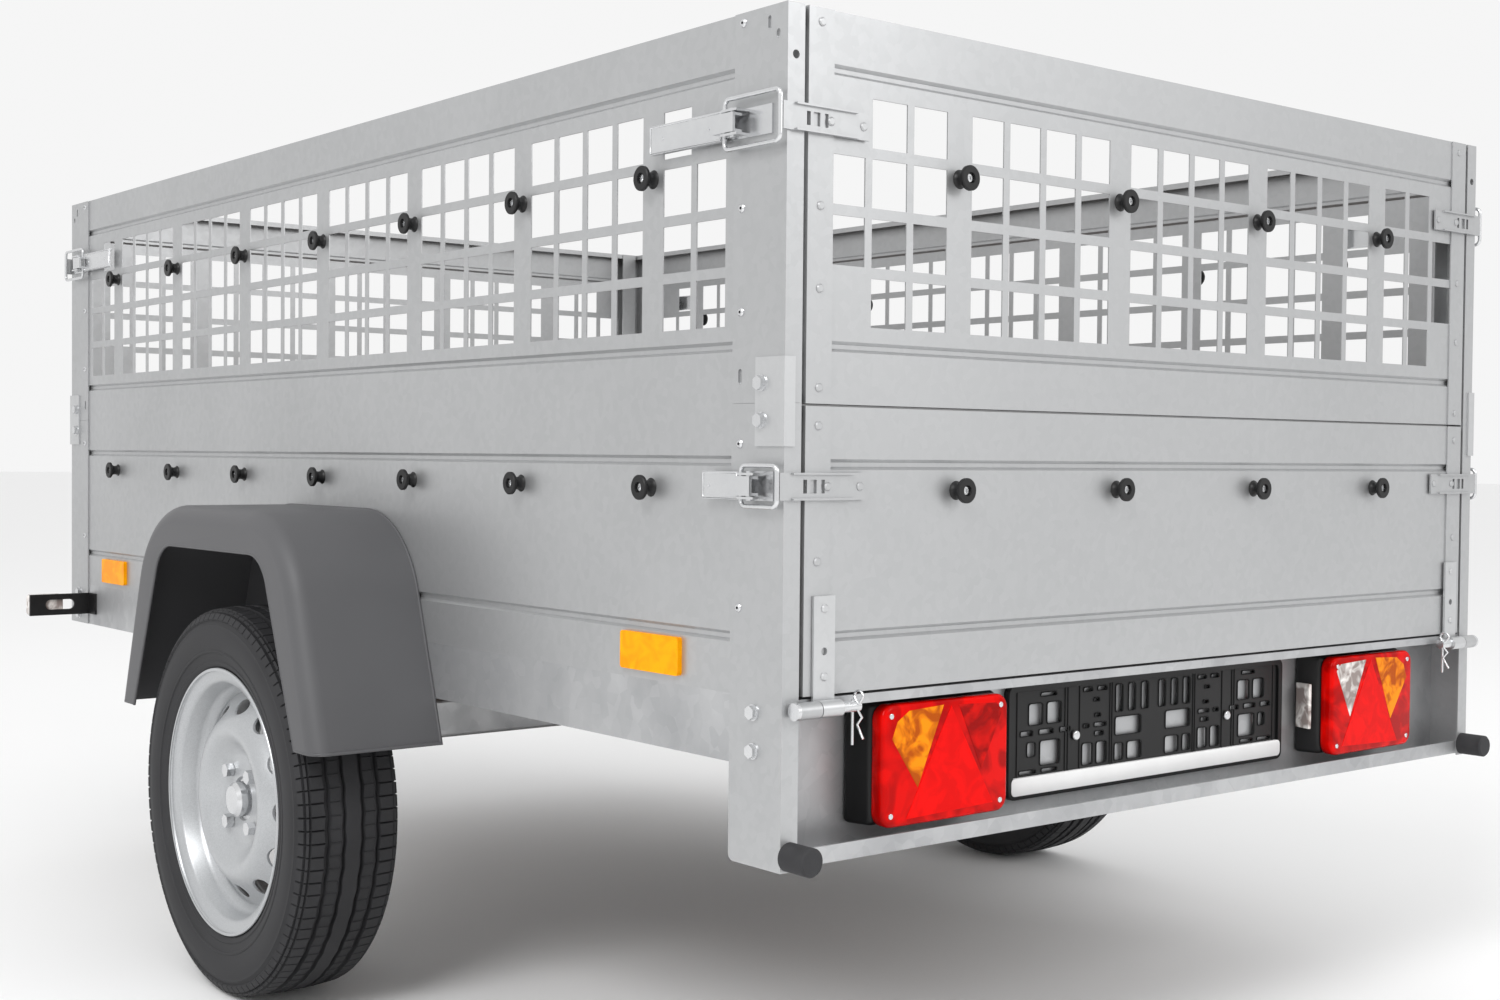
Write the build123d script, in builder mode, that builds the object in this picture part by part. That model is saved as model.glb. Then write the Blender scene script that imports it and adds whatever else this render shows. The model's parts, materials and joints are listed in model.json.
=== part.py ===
"""Single-axle utility trailer with a steel box body and mesh side extensions, piece by piece.

X runs to the trailer's right, Y forward to the coupling, Z up from the ground. Millimetres.
Along the body, "s" is the distance forward from its rear face; station(s) turns it into Y.
"""

import os

from build123d import *

os.makedirs("parts", exist_ok=True)

# Overall sizes
BODY_WIDTH = 1300.0
BODY_LENGTH = 2071.0
DRAWBAR_REACH = 950.0
BUFFER_LENGTH = 37.0
RAIL_BOTTOM = 427.5
RAIL_HEIGHT = 72.0
LOWER_WALL = 302.0
MESH_WALL = 402.0

# Sheet, posts and edges
POST_SHEET = 2.5
PANEL_SHEET = 1.5
RAIL_SHEET = 3.0
RAIL_FLANGE = 40.0
POST_SIDE_LEG = 85.0
POST_END_LEG = 22.5
REAR_POST_FOOT = 102.5
WALL_FLANGE = 22.0
WALL_LIP = 9.0
BEAD_DEPTH = 4.0
BEAD_WIDTH = 11.0
BEAD_EDGE_DISTANCE = 59.5

# Gates between the posts
GATE_SIDE_GAP = 5.5
GATE_SEAM_GAP = 2.5
GATE_FLOOR_GAP = 3.0
CHANNEL_WIDTH = 34.5
CHANNEL_SHEET = 2.0
CHANNEL_DEPTH = 27.0
FREE_GAP = 0.3

# Window grid of the mesh panels
WINDOW_WIDTH = 50.0
WINDOW_HEIGHT = 51.0
THIN_BAR = 10.0
ROW_BAR = 11.3
WINDOWS_PER_GROUP = 4
WINDOW_ROWS = 4
HOOK_PITCH = 268.3
TOP_WINDOW_DROP = 83.0
SIDE_HOOKS = 7
END_HOOKS = 4

# Tarpaulin hooks
HOOK_HEAD_RADIUS = 13.8
HOOK_HEIGHT = 18.0
LOWER_HOOK_DROP = 89.5
UPPER_HOOK_DROP = 153.5

# Chassis
REAR_BEAM_HEIGHT = 172.0
REAR_BEAM_DEPTH = 55.5
REAR_LIP_TOP = 10.0
REAR_LIP_BOTTOM = 18.0
CROSS_WIDTH = 40.0
CROSS_STATIONS = (360.0, 790.0, 1290.0, 1700.0)
FLOOR_THICKNESS = 9.0
FLOOR_CLEARANCE = 2.0
DRAWBAR_SIZE = 60.0
DRAWBAR_WALL = 3.0
DRAWBAR_OVERLAP = 75.5

# Axle and wheels
TYRE_RADIUS = 267.0
TYRE_WIDTH = 146.0
TYRE_WALL = 11.0
WHEEL_OUT = 100.5
AXLE_STATION = 995.5
ARM_REACH = 120.0
AXLE_TUBE = 60.0
TORSION_RADIUS = 20.0
STUB_RADIUS = 15.0
RUNNING_GAP = 0.05
BEAD_SEAT_RADIUS = 164.5
RIM_FLANGE_RADIUS = 183.0
RIM_HALF_WIDTH = 63.0
RIM_SHEET = 4.0
RIM_OFFSET = 30.0
BOLT_CIRCLE = 100.0
HUB_FLANGE_RADIUS = 62.0

# Mudguards
GUARD_LEAD = 17.5
GUARD_OVERHANG = 79.5
GUARD_SHEET = 3.0
GUARD_RISE = 137.0
GUARD_AXLE_GAP = 1.5
GUARD_FOOT_REACH = 330.0
GUARD_SHOULDER_REACH = 230.0
GUARD_CORNER_RADIUS = 155.0
GUARD_EDGE_RADIUS = 10.0
ARCH_DROP = 58.0
ARCH_FOOT_REACH = 272.0
ARCH_SHOULDER_REACH = 172.0
ARCH_CORNER_RADIUS = 60.0

# Rear lamps, plate holder, reflectors, markers
LAMP_INSET = 132.0
LAMP_WIDTH = 213.0
LAMP_HEIGHT = 135.0
LAMP_RISE = 25.5
LAMP_CORNER = 9.0
LENS_INSET = 2.0
LENS_DEPTH = 8.0
LENS_FACE = 4.0
PLATE_HALF = 266.0
PLATE_HEIGHT = 134.0
PLATE_RISE = 21.5
PLATE_DEPTH = 9.0
PLATE_RIM = 6.0
PLATE_STRIP = 24.0
PLATE_RECESS = 3.0
PLATE_HOLES = (11, 3)
PLATE_HOLE_SIZE = (26.0, 16.0)
PLATE_HOLE_PITCH = (44.0, 30.0)
PLATE_HOLE_LIFT = 8.0
REFLECTOR_LENGTH = 108.0
REFLECTOR_HEIGHT = 42.0
REFLECTOR_SHEET = 6.0
REFLECTOR_RISE = 30.5
REFLECTOR_FROM_END = (225.0, 220.0)
MARKER_REACH = 107.0
MARKER_SETBACK = 95.0
MARKER_RISE = 38.5
BUFFER_RADIUS = 15.0
BUFFER_INSET = 11.5
BUFFER_RISE = 16.0

# Toggle latches and the hinge
WIRE_RADIUS = 2.5
UPPER_LATCH_DROP = 114.5
LOWER_LATCH_DROP = 84.5
LATCH_PIN_RADIUS = 3.0
LATCH_PIN_OUT = 14.5
LIP_OUT = 7.5
STRAP_SHEET = 2.5
STRAP_HALF_HEIGHT = 14.0
STRAP_REACH = 109.0
STRAP_FLAT = 18.0
STRAP_RIB = 3.5
RIB_SHEET = 2.0
RIB_SETBACK = 8.0
LIP_WRAP = 6.0
LIP_HALF_HEIGHT = 12.0
LIP_CLEARANCE = 0.4
STRAP_SLOTS = ((26.0, 5.0), (37.0, 9.0), (50.0, 5.0))
STRAP_RIVET_INSETS = (8.0, 53.0)
RIVET_RADIUS = 4.6
RIVET_HEIGHT = 2.2
HINGE_BACK = 11.5
HINGE_DROP = 9.5
KNUCKLE_RADIUS = 9.0
HINGE_PIN_RADIUS = 6.0
HINGE_STRAP_INSET = 40.0
HINGE_STRAP_WIDTH = 29.0
HINGE_STRAP_LENGTH = 115.0

# Coupling and prop stand
SOCKET_RADIUS = 25.2
SOCKET_DROP = 7.5
COUPLING_WALL = 6.0
PROP_STATION = 450.0
PROP_RADIUS = 24.0
PROP_GAP = 16.0
PROP_ABOVE_RAIL = 162.5
PROP_FOOT = 70.0

# Derived places
HALF = BODY_WIDTH / 2
PANEL_X = HALF - POST_SHEET
REAR_Y = (BUFFER_LENGTH - BODY_LENGTH - DRAWBAR_REACH) / 2
RAIL_TOP = RAIL_BOTTOM + RAIL_HEIGHT
SEAM = RAIL_TOP + LOWER_WALL
BODY_TOP = SEAM + MESH_WALL
POST_FOOT = RAIL_BOTTOM - REAR_POST_FOOT
BEAM_BOTTOM = RAIL_TOP - REAR_BEAM_HEIGHT
GATE_HALF = HALF - POST_END_LEG - GATE_SIDE_GAP
WHEEL_X = HALF + WHEEL_OUT
WHEEL_Z = TYRE_RADIUS
TUBE_STATION = AXLE_STATION + ARM_REACH
TUBE_TOP = RAIL_BOTTOM - DRAWBAR_SIZE
TUBE_Z = TUBE_TOP - AXLE_TUBE / 2
LOWER_HOOK_Z = SEAM - LOWER_HOOK_DROP
UPPER_HOOK_Z = BODY_TOP - UPPER_HOOK_DROP
LOWER_LATCH_Z = SEAM - LOWER_LATCH_DROP
UPPER_LATCH_Z = BODY_TOP - UPPER_LATCH_DROP
CHANNEL_X = GATE_HALF - CHANNEL_WIDTH / 2
HINGE_Z = RAIL_TOP - HINGE_DROP
HINGE_STRAP_INNER = GATE_HALF - HINGE_STRAP_INSET
HINGE_STRAP_OUTER = HINGE_STRAP_INNER + HINGE_STRAP_WIDTH
HINGE_STRAP_TOP = HINGE_Z + HINGE_STRAP_LENGTH
BAIL_OUT = LIP_OUT + LIP_CLEARANCE + WIRE_RADIUS
PROP_Y_STATION = BODY_LENGTH + PROP_STATION
PROP_X = -(DRAWBAR_SIZE / 2 + PROP_GAP + PROP_RADIUS)
PROP_TOP = RAIL_BOTTOM + PROP_ABOVE_RAIL
TIP_STATION = BODY_LENGTH + DRAWBAR_REACH
HEAD_RADIUS = SOCKET_RADIUS + COUPLING_WALL
SOCKET_STATION = TIP_STATION - HEAD_RADIUS
SOCKET_Z = RAIL_BOTTOM - DRAWBAR_SIZE / 2 - SOCKET_DROP
MIDDLE_STATION = BODY_LENGTH / 2
GUARD_STATION = AXLE_STATION + GUARD_LEAD
GUARD_INNER = PANEL_X
GUARD_OUTER = WHEEL_X + GUARD_OVERHANG
GUARD_TOP = 2 * TYRE_RADIUS + GUARD_RISE
GUARD_FOOT = TUBE_TOP + GUARD_AXLE_GAP
LAMP_OUTER = HALF - LAMP_INSET
LAMP_INNER = LAMP_OUTER - LAMP_WIDTH
LAMP_BOTTOM = BEAM_BOTTOM + LAMP_RISE
LAMP_TOP = LAMP_BOTTOM + LAMP_HEIGHT
PLATE_BOTTOM = BEAM_BOTTOM + PLATE_RISE
PLATE_TOP = PLATE_BOTTOM + PLATE_HEIGHT
REFLECTOR_Z = RAIL_TOP + REFLECTOR_RISE
REFLECTOR_STATIONS = (REFLECTOR_FROM_END[0], BODY_LENGTH - REFLECTOR_FROM_END[1])
MARKER_STATION = BODY_LENGTH - MARKER_SETBACK
MARKER_Z = RAIL_BOTTOM + MARKER_RISE
BUFFER_X = HALF - BUFFER_INSET
BUFFER_Z = POST_FOOT + BUFFER_RISE


def station(s):
    """Y of a distance forward from the body's rear face."""
    return REAR_Y + s


def finish(piece, label):
    """Labels a finished piece and writes its STEP file."""
    piece.part.label = label
    export_step(piece.part, f"parts/{label}.step")


def span(x_range, y_range, z_range, mode=Mode.ADD):
    """Adds or cuts a box between the given limits."""
    sizes = [abs(high - low) for low, high in (x_range, y_range, z_range)]
    centre = [(low + high) / 2 for low, high in (x_range, y_range, z_range)]
    with Locations(tuple(centre)):
        Box(*sizes, mode=mode)


def rod(start, direction, length, radius, mode=Mode.ADD):
    """Adds or cuts a round bar from a start point along a direction."""
    with BuildSketch(Plane(origin=start, z_dir=direction)) as disc:
        Circle(radius)
    extrude(disc.sketch, amount=length, mode=mode)


def outline(plane, points, amount, both=False, mode=Mode.ADD):
    """Extrudes a closed polygon drawn on a plane."""
    with BuildSketch(plane) as face:
        with BuildLine():
            Polyline(*points, close=True)
        make_face()
    extrude(face.sketch, amount=amount, both=both, mode=mode)


def wall_section(bottom, top, depth):
    """Folded sheet in (depth, height): flat face, two beads, and flanges with lips."""
    sheet = PANEL_SHEET
    beads = (bottom + BEAD_EDGE_DISTANCE, top - BEAD_EDGE_DISTANCE)
    outer = []
    inner = []
    for z in beads:
        for rise, sink in ((-0.5, 0.0), (-0.2, BEAD_DEPTH), (0.2, BEAD_DEPTH), (0.5, 0.0)):
            outer.append((sink, z + rise * BEAD_WIDTH))
            inner.append((sink + sheet, z + rise * BEAD_WIDTH))
    head = [(0, top), (depth, top), (depth, top - WALL_LIP), (depth - sheet, top - WALL_LIP)]
    head += [(depth - sheet, top - sheet), (sheet, top - sheet)]
    foot = [(sheet, bottom + sheet), (depth - sheet, bottom + sheet)]
    foot += [(depth - sheet, bottom + WALL_LIP), (depth, bottom + WALL_LIP), (depth, bottom)]
    return [(0, bottom), *outer, *head, *reversed(inner), *foot]


def side_wall(bottom, top):
    """Left wall sheet, between the end legs of its two posts."""
    points = [(-PANEL_X + d, z) for d, z in wall_section(bottom, top, WALL_FLANGE)]
    length = BODY_LENGTH - 2 * POST_SHEET
    outline(Plane.XZ.offset(-station(POST_SHEET)), points, -length)


def end_wall(bottom, top, front):
    """Sheet of a gate or front wall, which slides into its two edge channels."""
    section = wall_section(bottom, top, CHANNEL_DEPTH - 2 * CHANNEL_SHEET - FREE_GAP)
    if front:
        points = [(station(BODY_LENGTH - CHANNEL_SHEET - d), z) for d, z in section]
    else:
        points = [(station(CHANNEL_SHEET + d), z) for d, z in section]
    outline(Plane.YZ, points, GATE_HALF - CHANNEL_SHEET, both=True)


def window_centres(span_half, hooks, end_columns):
    """Window places along a mesh panel, as (offset from its middle, row indices)."""
    group_width = WINDOWS_PER_GROUP * WINDOW_WIDTH + (WINDOWS_PER_GROUP - 1) * THIN_BAR
    pitch = WINDOW_WIDTH + THIN_BAR
    all_rows = tuple(range(WINDOW_ROWS))
    places = []
    for group in range(hooks - 1):
        middle = (group - (hooks - 2) / 2) * HOOK_PITCH
        for column in range(WINDOWS_PER_GROUP):
            places.append((middle + (column - (WINDOWS_PER_GROUP - 1) / 2) * pitch, all_rows))
    last_hook = (hooks - 1) / 2 * HOOK_PITCH
    wide_half = (HOOK_PITCH - group_width) / 2
    for column, rows in enumerate(end_columns):
        offset = last_hook + wide_half + WINDOW_WIDTH / 2 + column * pitch
        if offset - WINDOW_WIDTH / 2 < span_half:
            places += [(-offset, rows), (offset, rows)]
    return places


def cut_windows(plane, places):
    """Cuts the window grid through a mesh panel's face sheet."""
    first_row = BODY_TOP - TOP_WINDOW_DROP - WINDOW_HEIGHT / 2
    with BuildSketch(plane) as windows:
        for offset, rows in places:
            for row in rows:
                with Locations((offset, first_row - row * (WINDOW_HEIGHT + ROW_BAR))):
                    Rectangle(WINDOW_WIDTH, WINDOW_HEIGHT)
    extrude(windows.sketch, amount=PANEL_SHEET + 2, both=True, mode=Mode.SUBTRACT)


def edge_channels(bottom, top, front):
    """Both U channels that close the ends of a gate."""
    face, back = (BODY_LENGTH, BODY_LENGTH - CHANNEL_DEPTH) if front else (0, CHANNEL_DEPTH)
    into = -CHANNEL_SHEET if front else CHANNEL_SHEET
    outer = (GATE_HALF - CHANNEL_WIDTH, GATE_HALF)
    span(outer, (station(face), station(face + into)), (bottom, top))
    span(outer, (station(back - into), station(back)), (bottom, top))
    span((GATE_HALF - CHANNEL_SHEET, GATE_HALF), (station(face), station(back)), (bottom, top))
    mirror(about=Plane.YZ)


def strap_shape(z, front):
    """Both catch straps of a gate at one height: plate, folded edges and corner lip."""
    face, way = (BODY_LENGTH, 1) if front else (0, -1)
    near = station(face + way * FREE_GAP)
    far = station(face + way * (FREE_GAP + STRAP_SHEET))
    rib = station(face + way * (FREE_GAP + STRAP_SHEET + STRAP_RIB))
    lip = station(face - way * LIP_WRAP)
    rib_x = (HALF - STRAP_REACH + STRAP_FLAT, HALF - RIB_SETBACK)
    low, high = z - STRAP_HALF_HEIGHT, z + STRAP_HALF_HEIGHT
    span((HALF - STRAP_REACH, HALF + LIP_OUT), (near, far), (low, high))
    span(rib_x, (near, rib), (low, low + RIB_SHEET))
    span(rib_x, (near, rib), (high - RIB_SHEET, high))
    lip_z = (z - LIP_HALF_HEIGHT, z + LIP_HALF_HEIGHT)
    span((HALF + LIP_OUT - STRAP_SHEET, HALF + LIP_OUT), (far, lip), lip_z)
    for inset, width in STRAP_SLOTS:
        middle = HALF - inset
        slot_z = (z - STRAP_HALF_HEIGHT / 2, z + STRAP_HALF_HEIGHT / 2)
        span((middle - width / 2, middle + width / 2), (near, far), slot_z, Mode.SUBTRACT)


def dome(radius, height):
    """Shallow rivet or screw head standing on the XY plane."""
    with BuildPart() as head:
        Cylinder(radius, height, align=(Align.CENTER, Align.CENTER, Align.MIN))
        chamfer(head.edges().group_by(Axis.Z)[-1], length=height * 0.6)
    return head.part


def rivets_at(places, normal):
    """Adds rivet heads at points, their domes facing along a normal."""
    head = dome(RIVET_RADIUS, RIVET_HEIGHT)
    for place in places:
        add(Plane(origin=place, z_dir=normal).location * head)


# Tarpaulin hook: flared foot, waist, wide head and a sunk screw
with BuildPart() as hook_spool:
    with BuildSketch(Plane.XZ):
        with BuildLine():
            foot_edge = Line((0, 0), (10.5, 0))
            waist = ThreePointArc(foot_edge @ 1, (7.6, 6.0), (10.5, 12.0))
            under = Line(waist @ 1, (HOOK_HEAD_RADIUS, 14.0))
            rim = Line(under @ 1, (HOOK_HEAD_RADIUS, HOOK_HEIGHT - 1))
            bevel = Line(rim @ 1, (HOOK_HEAD_RADIUS - 1.2, HOOK_HEIGHT))
            crown = Line(bevel @ 1, (6.0, HOOK_HEIGHT))
            Polyline(crown @ 1, (5.0, HOOK_HEIGHT - 5), (0, HOOK_HEIGHT - 5), (0, 0))
        make_face()
    revolve(axis=Axis.Z)


def hooks_at(places, normal):
    """Adds tarpaulin hooks at points on a wall, standing out along its normal."""
    for place in places:
        add(Plane(origin=place, z_dir=normal).location * hook_spool.part)


# Chassis: side rails, cross members, rear beam
with BuildPart() as side_rails:
    rail_points = [
        (-PANEL_X, RAIL_BOTTOM),
        (-PANEL_X + RAIL_FLANGE, RAIL_BOTTOM),
        (-PANEL_X + RAIL_FLANGE, RAIL_BOTTOM + RAIL_SHEET),
        (-PANEL_X + RAIL_SHEET, RAIL_BOTTOM + RAIL_SHEET),
        (-PANEL_X + RAIL_SHEET, RAIL_TOP - RAIL_SHEET),
        (-PANEL_X + RAIL_FLANGE, RAIL_TOP - RAIL_SHEET),
        (-PANEL_X + RAIL_FLANGE, RAIL_TOP),
        (-PANEL_X, RAIL_TOP),
    ]
    rail_start = POST_SHEET + REAR_BEAM_DEPTH
    rail_length = BODY_LENGTH - POST_SHEET - rail_start
    outline(Plane.XZ.offset(-station(rail_start)), rail_points, -rail_length)
    mirror(about=Plane.YZ)
finish(side_rails, "side_rails")


def cross_channel(s, width, way):
    """Folded channel from rail to rail, open towards the front or the rear."""
    back = station(s)
    web = station(s + way * RAIL_SHEET)
    tip = station(s + way * width)
    half = PANEL_X - RAIL_FLANGE
    span((-half, half), (back, web), (RAIL_BOTTOM, RAIL_TOP))
    span((-half, half), (back, tip), (RAIL_BOTTOM, RAIL_BOTTOM + RAIL_SHEET))
    span((-half, half), (back, tip), (RAIL_TOP - RAIL_SHEET, RAIL_TOP))


with BuildPart() as cross_members:
    for member_station in CROSS_STATIONS:
        cross_channel(member_station, CROSS_WIDTH, 1)
    cross_channel(BODY_LENGTH - POST_SHEET, CROSS_WIDTH, -1)
finish(cross_members, "cross_members")

with BuildPart() as rear_beam:
    beam_face = POST_SHEET
    beam_back = POST_SHEET + REAR_BEAM_DEPTH
    beam_points = [
        (station(beam_face), BEAM_BOTTOM),
        (station(beam_back), BEAM_BOTTOM),
        (station(beam_back), RAIL_TOP),
        (station(beam_face), RAIL_TOP),
        (station(beam_face), RAIL_TOP - REAR_LIP_TOP),
        (station(beam_face + RAIL_SHEET), RAIL_TOP - REAR_LIP_TOP),
        (station(beam_face + RAIL_SHEET), RAIL_TOP - RAIL_SHEET),
        (station(beam_back - RAIL_SHEET), RAIL_TOP - RAIL_SHEET),
        (station(beam_back - RAIL_SHEET), BEAM_BOTTOM + RAIL_SHEET),
        (station(beam_face + RAIL_SHEET), BEAM_BOTTOM + RAIL_SHEET),
        (station(beam_face + RAIL_SHEET), BEAM_BOTTOM + REAR_LIP_BOTTOM),
        (station(beam_face), BEAM_BOTTOM + REAR_LIP_BOTTOM),
    ]
    outline(Plane.YZ, beam_points, PANEL_X, both=True)
finish(rear_beam, "rear_beam")

with BuildPart() as floor_board:
    floor_half = PANEL_X - WALL_FLANGE - FLOOR_CLEARANCE
    floor_inset = CHANNEL_DEPTH + FLOOR_CLEARANCE
    floor_ends = (station(floor_inset), station(BODY_LENGTH - floor_inset))
    span((-floor_half, floor_half), floor_ends, (RAIL_TOP, RAIL_TOP + FLOOR_THICKNESS))
finish(floor_board, "floor_board")

# Corner posts: lower posts reach down over the chassis, upper posts carry the mesh panels
TARP_HOLE_RADIUS = 4.5
TARP_HOLE_DROP = 52.0
TARP_HOLE_INSET = 11.0
FOOT_CORNER_RADIUS = 8.0
POST_SLOTS = (
    (29.0, BODY_TOP - 17, 5.0, 14.0),
    (72.0, SEAM + 28, 6.0, 16.0),
    (15.0, BODY_TOP - 30, 6.0, 9.0),
)


def post(s_corner, way, bottom, top):
    """Angle-section post at a left corner, its end leg across the body's end face."""
    side = (station(s_corner), station(s_corner + way * POST_SIDE_LEG))
    end = (station(s_corner), station(s_corner + way * POST_SHEET))
    span((-HALF, -PANEL_X), side, (bottom, top))
    span((-HALF, -HALF + POST_END_LEG), end, (bottom, top))


def slot(s, z, width, height):
    """Upright slot through a left post's side leg."""
    with BuildSketch(Plane.YZ.offset(-HALF)) as opening:
        with Locations((station(s), z)):
            SlotOverall(height, width, rotation=90)
    extrude(opening.sketch, amount=POST_SHEET, mode=Mode.SUBTRACT)


with BuildPart() as corner_posts:
    post(0, 1, POST_FOOT, SEAM)
    foot_corner = corner_posts.edges().filter_by(Axis.X).group_by(Axis.Z)[0].sort_by(Axis.Y)[-1:]
    fillet(foot_corner, radius=FOOT_CORNER_RADIUS)
    post(BODY_LENGTH, -1, RAIL_BOTTOM, SEAM)
    post(0, 1, SEAM + FREE_GAP, BODY_TOP)
    post(BODY_LENGTH, -1, SEAM + FREE_GAP, BODY_TOP)
    for corner, way in ((0, 1), (BODY_LENGTH, -1)):
        for setback, z, width, height in POST_SLOTS:
            slot(corner + way * setback, z, width, height)
    tarp_hole = (-HALF + TARP_HOLE_INSET, station(-1), BODY_TOP - TARP_HOLE_DROP)
    rod(tarp_hole, (0, 1, 0), POST_SHEET + 2, TARP_HOLE_RADIUS, Mode.SUBTRACT)
    mirror(about=Plane.YZ)
finish(corner_posts, "corner_posts")

# Angle brackets that join upper and lower posts
BRACKET_LENGTH = 91.0
BRACKET_SIDE_LEG = 44.0
BRACKET_END_LEG = 12.0
BRACKET_DROP = 44.0
with BuildPart() as joining_brackets:
    bracket_low = SEAM - BRACKET_DROP
    bracket_z = (bracket_low, bracket_low + BRACKET_LENGTH)
    for corner, way in ((0, 1), (BODY_LENGTH, -1)):
        outside = station(corner - way * POST_SHEET)
        side_end = station(corner + way * BRACKET_SIDE_LEG)
        span((-HALF - POST_SHEET, -HALF), (outside, side_end), bracket_z)
        span((-HALF - POST_SHEET, -HALF + BRACKET_END_LEG), (outside, station(corner)), bracket_z)
    mirror(about=Plane.YZ)
finish(joining_brackets, "joining_brackets")

BOLT_HEX = 13.0
BOLT_HEAD = 5.0
WASHER_RADIUS = 8.5
WASHER_SHEET = 1.5
CHASSIS_BOLT_SETBACK = 45.0
CHASSIS_BOLT_HEIGHTS = (RAIL_TOP - 15.5, RAIL_BOTTOM + 16.5)
BRACKET_BOLT_SETBACK = 34.0
BRACKET_BOLT_HEIGHTS = (SEAM + 20.5, SEAM - 17.5)
with BuildPart() as bolt_head:
    Cylinder(WASHER_RADIUS, WASHER_SHEET, align=(Align.CENTER, Align.CENTER, Align.MIN))
    with BuildSketch(Plane.XY.offset(WASHER_SHEET)):
        RegularPolygon(BOLT_HEX / 2, 6, major_radius=False)
    extrude(amount=BOLT_HEAD)

with BuildPart() as frame_bolts:
    for corner, way in ((0, 1), (BODY_LENGTH, -1)):
        post_y = station(corner + way * CHASSIS_BOLT_SETBACK)
        bracket_y = station(corner + way * BRACKET_BOLT_SETBACK)
        spots = [(-HALF, post_y, z) for z in CHASSIS_BOLT_HEIGHTS]
        spots += [(-HALF - POST_SHEET, bracket_y, z) for z in BRACKET_BOLT_HEIGHTS]
        for spot in spots:
            add(Plane(origin=spot, z_dir=(-1, 0, 0)).location * bolt_head.part)
    mirror(about=Plane.YZ)
finish(frame_bolts, "frame_bolts")

LOWER_RIVET_RISES = (90.5, 260.5)
UPPER_RIVET_RISES = (94.5, 201.5, 391.5)
POST_RIVET_SETBACK = 71.0
with BuildPart() as body_rivets:
    for corner, way in ((0, 1), (BODY_LENGTH, -1)):
        heights = [RAIL_TOP + rise for rise in LOWER_RIVET_RISES]
        heights += [SEAM + rise for rise in UPPER_RIVET_RISES]
        rivet_y = station(corner + way * POST_RIVET_SETBACK)
        rivets_at([(-HALF, rivet_y, z) for z in heights], (-1, 0, 0))
    mirror(about=Plane.YZ)
finish(body_rivets, "body_rivets")

# Walls
with BuildPart() as lower_side_panels:
    side_wall(RAIL_TOP, SEAM)
    mirror(about=Plane.YZ)
finish(lower_side_panels, "lower_side_panels")

FULL = tuple(range(WINDOW_ROWS))
with BuildPart() as mesh_side_panels:
    side_wall(SEAM, BODY_TOP)
    side_places = window_centres(MIDDLE_STATION - POST_SIDE_LEG, SIDE_HOOKS, (FULL, FULL[1:]))
    side_face = Plane.YZ.offset(-PANEL_X).shift_origin((-PANEL_X, station(MIDDLE_STATION), 0))
    cut_windows(side_face, side_places)
    mirror(about=Plane.YZ)
finish(mesh_side_panels, "mesh_side_panels")

with BuildPart() as front_wall:
    end_wall(RAIL_TOP, SEAM - GATE_SEAM_GAP, True)
    edge_channels(RAIL_TOP, SEAM - GATE_SEAM_GAP, True)
finish(front_wall, "front_wall")

with BuildPart() as side_tarp_hooks:
    hook_stations = [MIDDLE_STATION + (i - (SIDE_HOOKS - 1) / 2) * HOOK_PITCH for i in range(SIDE_HOOKS)]
    hook_spots = [(-PANEL_X, station(s), z) for s in hook_stations for z in (LOWER_HOOK_Z, UPPER_HOOK_Z)]
    hooks_at(hook_spots, (-1, 0, 0))
    mirror(about=Plane.YZ)
finish(side_tarp_hooks, "side_tarp_hooks")

# Tailgate: sheet, channels, straps, hooks
GATE_BOTTOM = RAIL_TOP + GATE_FLOOR_GAP
GATE_TOP = SEAM - GATE_SEAM_GAP
CHANNEL_RIVETS_LOWER = [RAIL_TOP + rise for rise in (140.5, 279.5)]
CHANNEL_RIVETS_UPPER = [SEAM + rise for rise in (16.5, 117.5, 201.5, 387.5)]
END_WINDOWS = (FULL, FULL, FULL[1:3])

with BuildPart() as tailgate_panel:
    end_wall(GATE_BOTTOM, GATE_TOP, False)
finish(tailgate_panel, "tailgate_panel")


def edge_fittings(bottom, top, strap_z, rivet_heights, front):
    """Edge channels of a gate, its catch straps and the rivets through both."""
    face, way = (BODY_LENGTH, 1) if front else (0, -1)
    strap_x = HALF - STRAP_REACH
    strap_y = station(face + way * (FREE_GAP + STRAP_SHEET))
    strap_shape(strap_z, front)
    rivets_at([(CHANNEL_X, station(face), z) for z in rivet_heights], (0, way, 0))
    rivets_at([(strap_x + inset, strap_y, strap_z) for inset in STRAP_RIVET_INSETS], (0, way, 0))
    edge_channels(bottom, top, front)


with BuildPart() as tailgate_edge_fittings:
    edge_fittings(GATE_BOTTOM, GATE_TOP, LOWER_LATCH_Z, CHANNEL_RIVETS_LOWER, False)
finish(tailgate_edge_fittings, "tailgate_edge_fittings")

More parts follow.
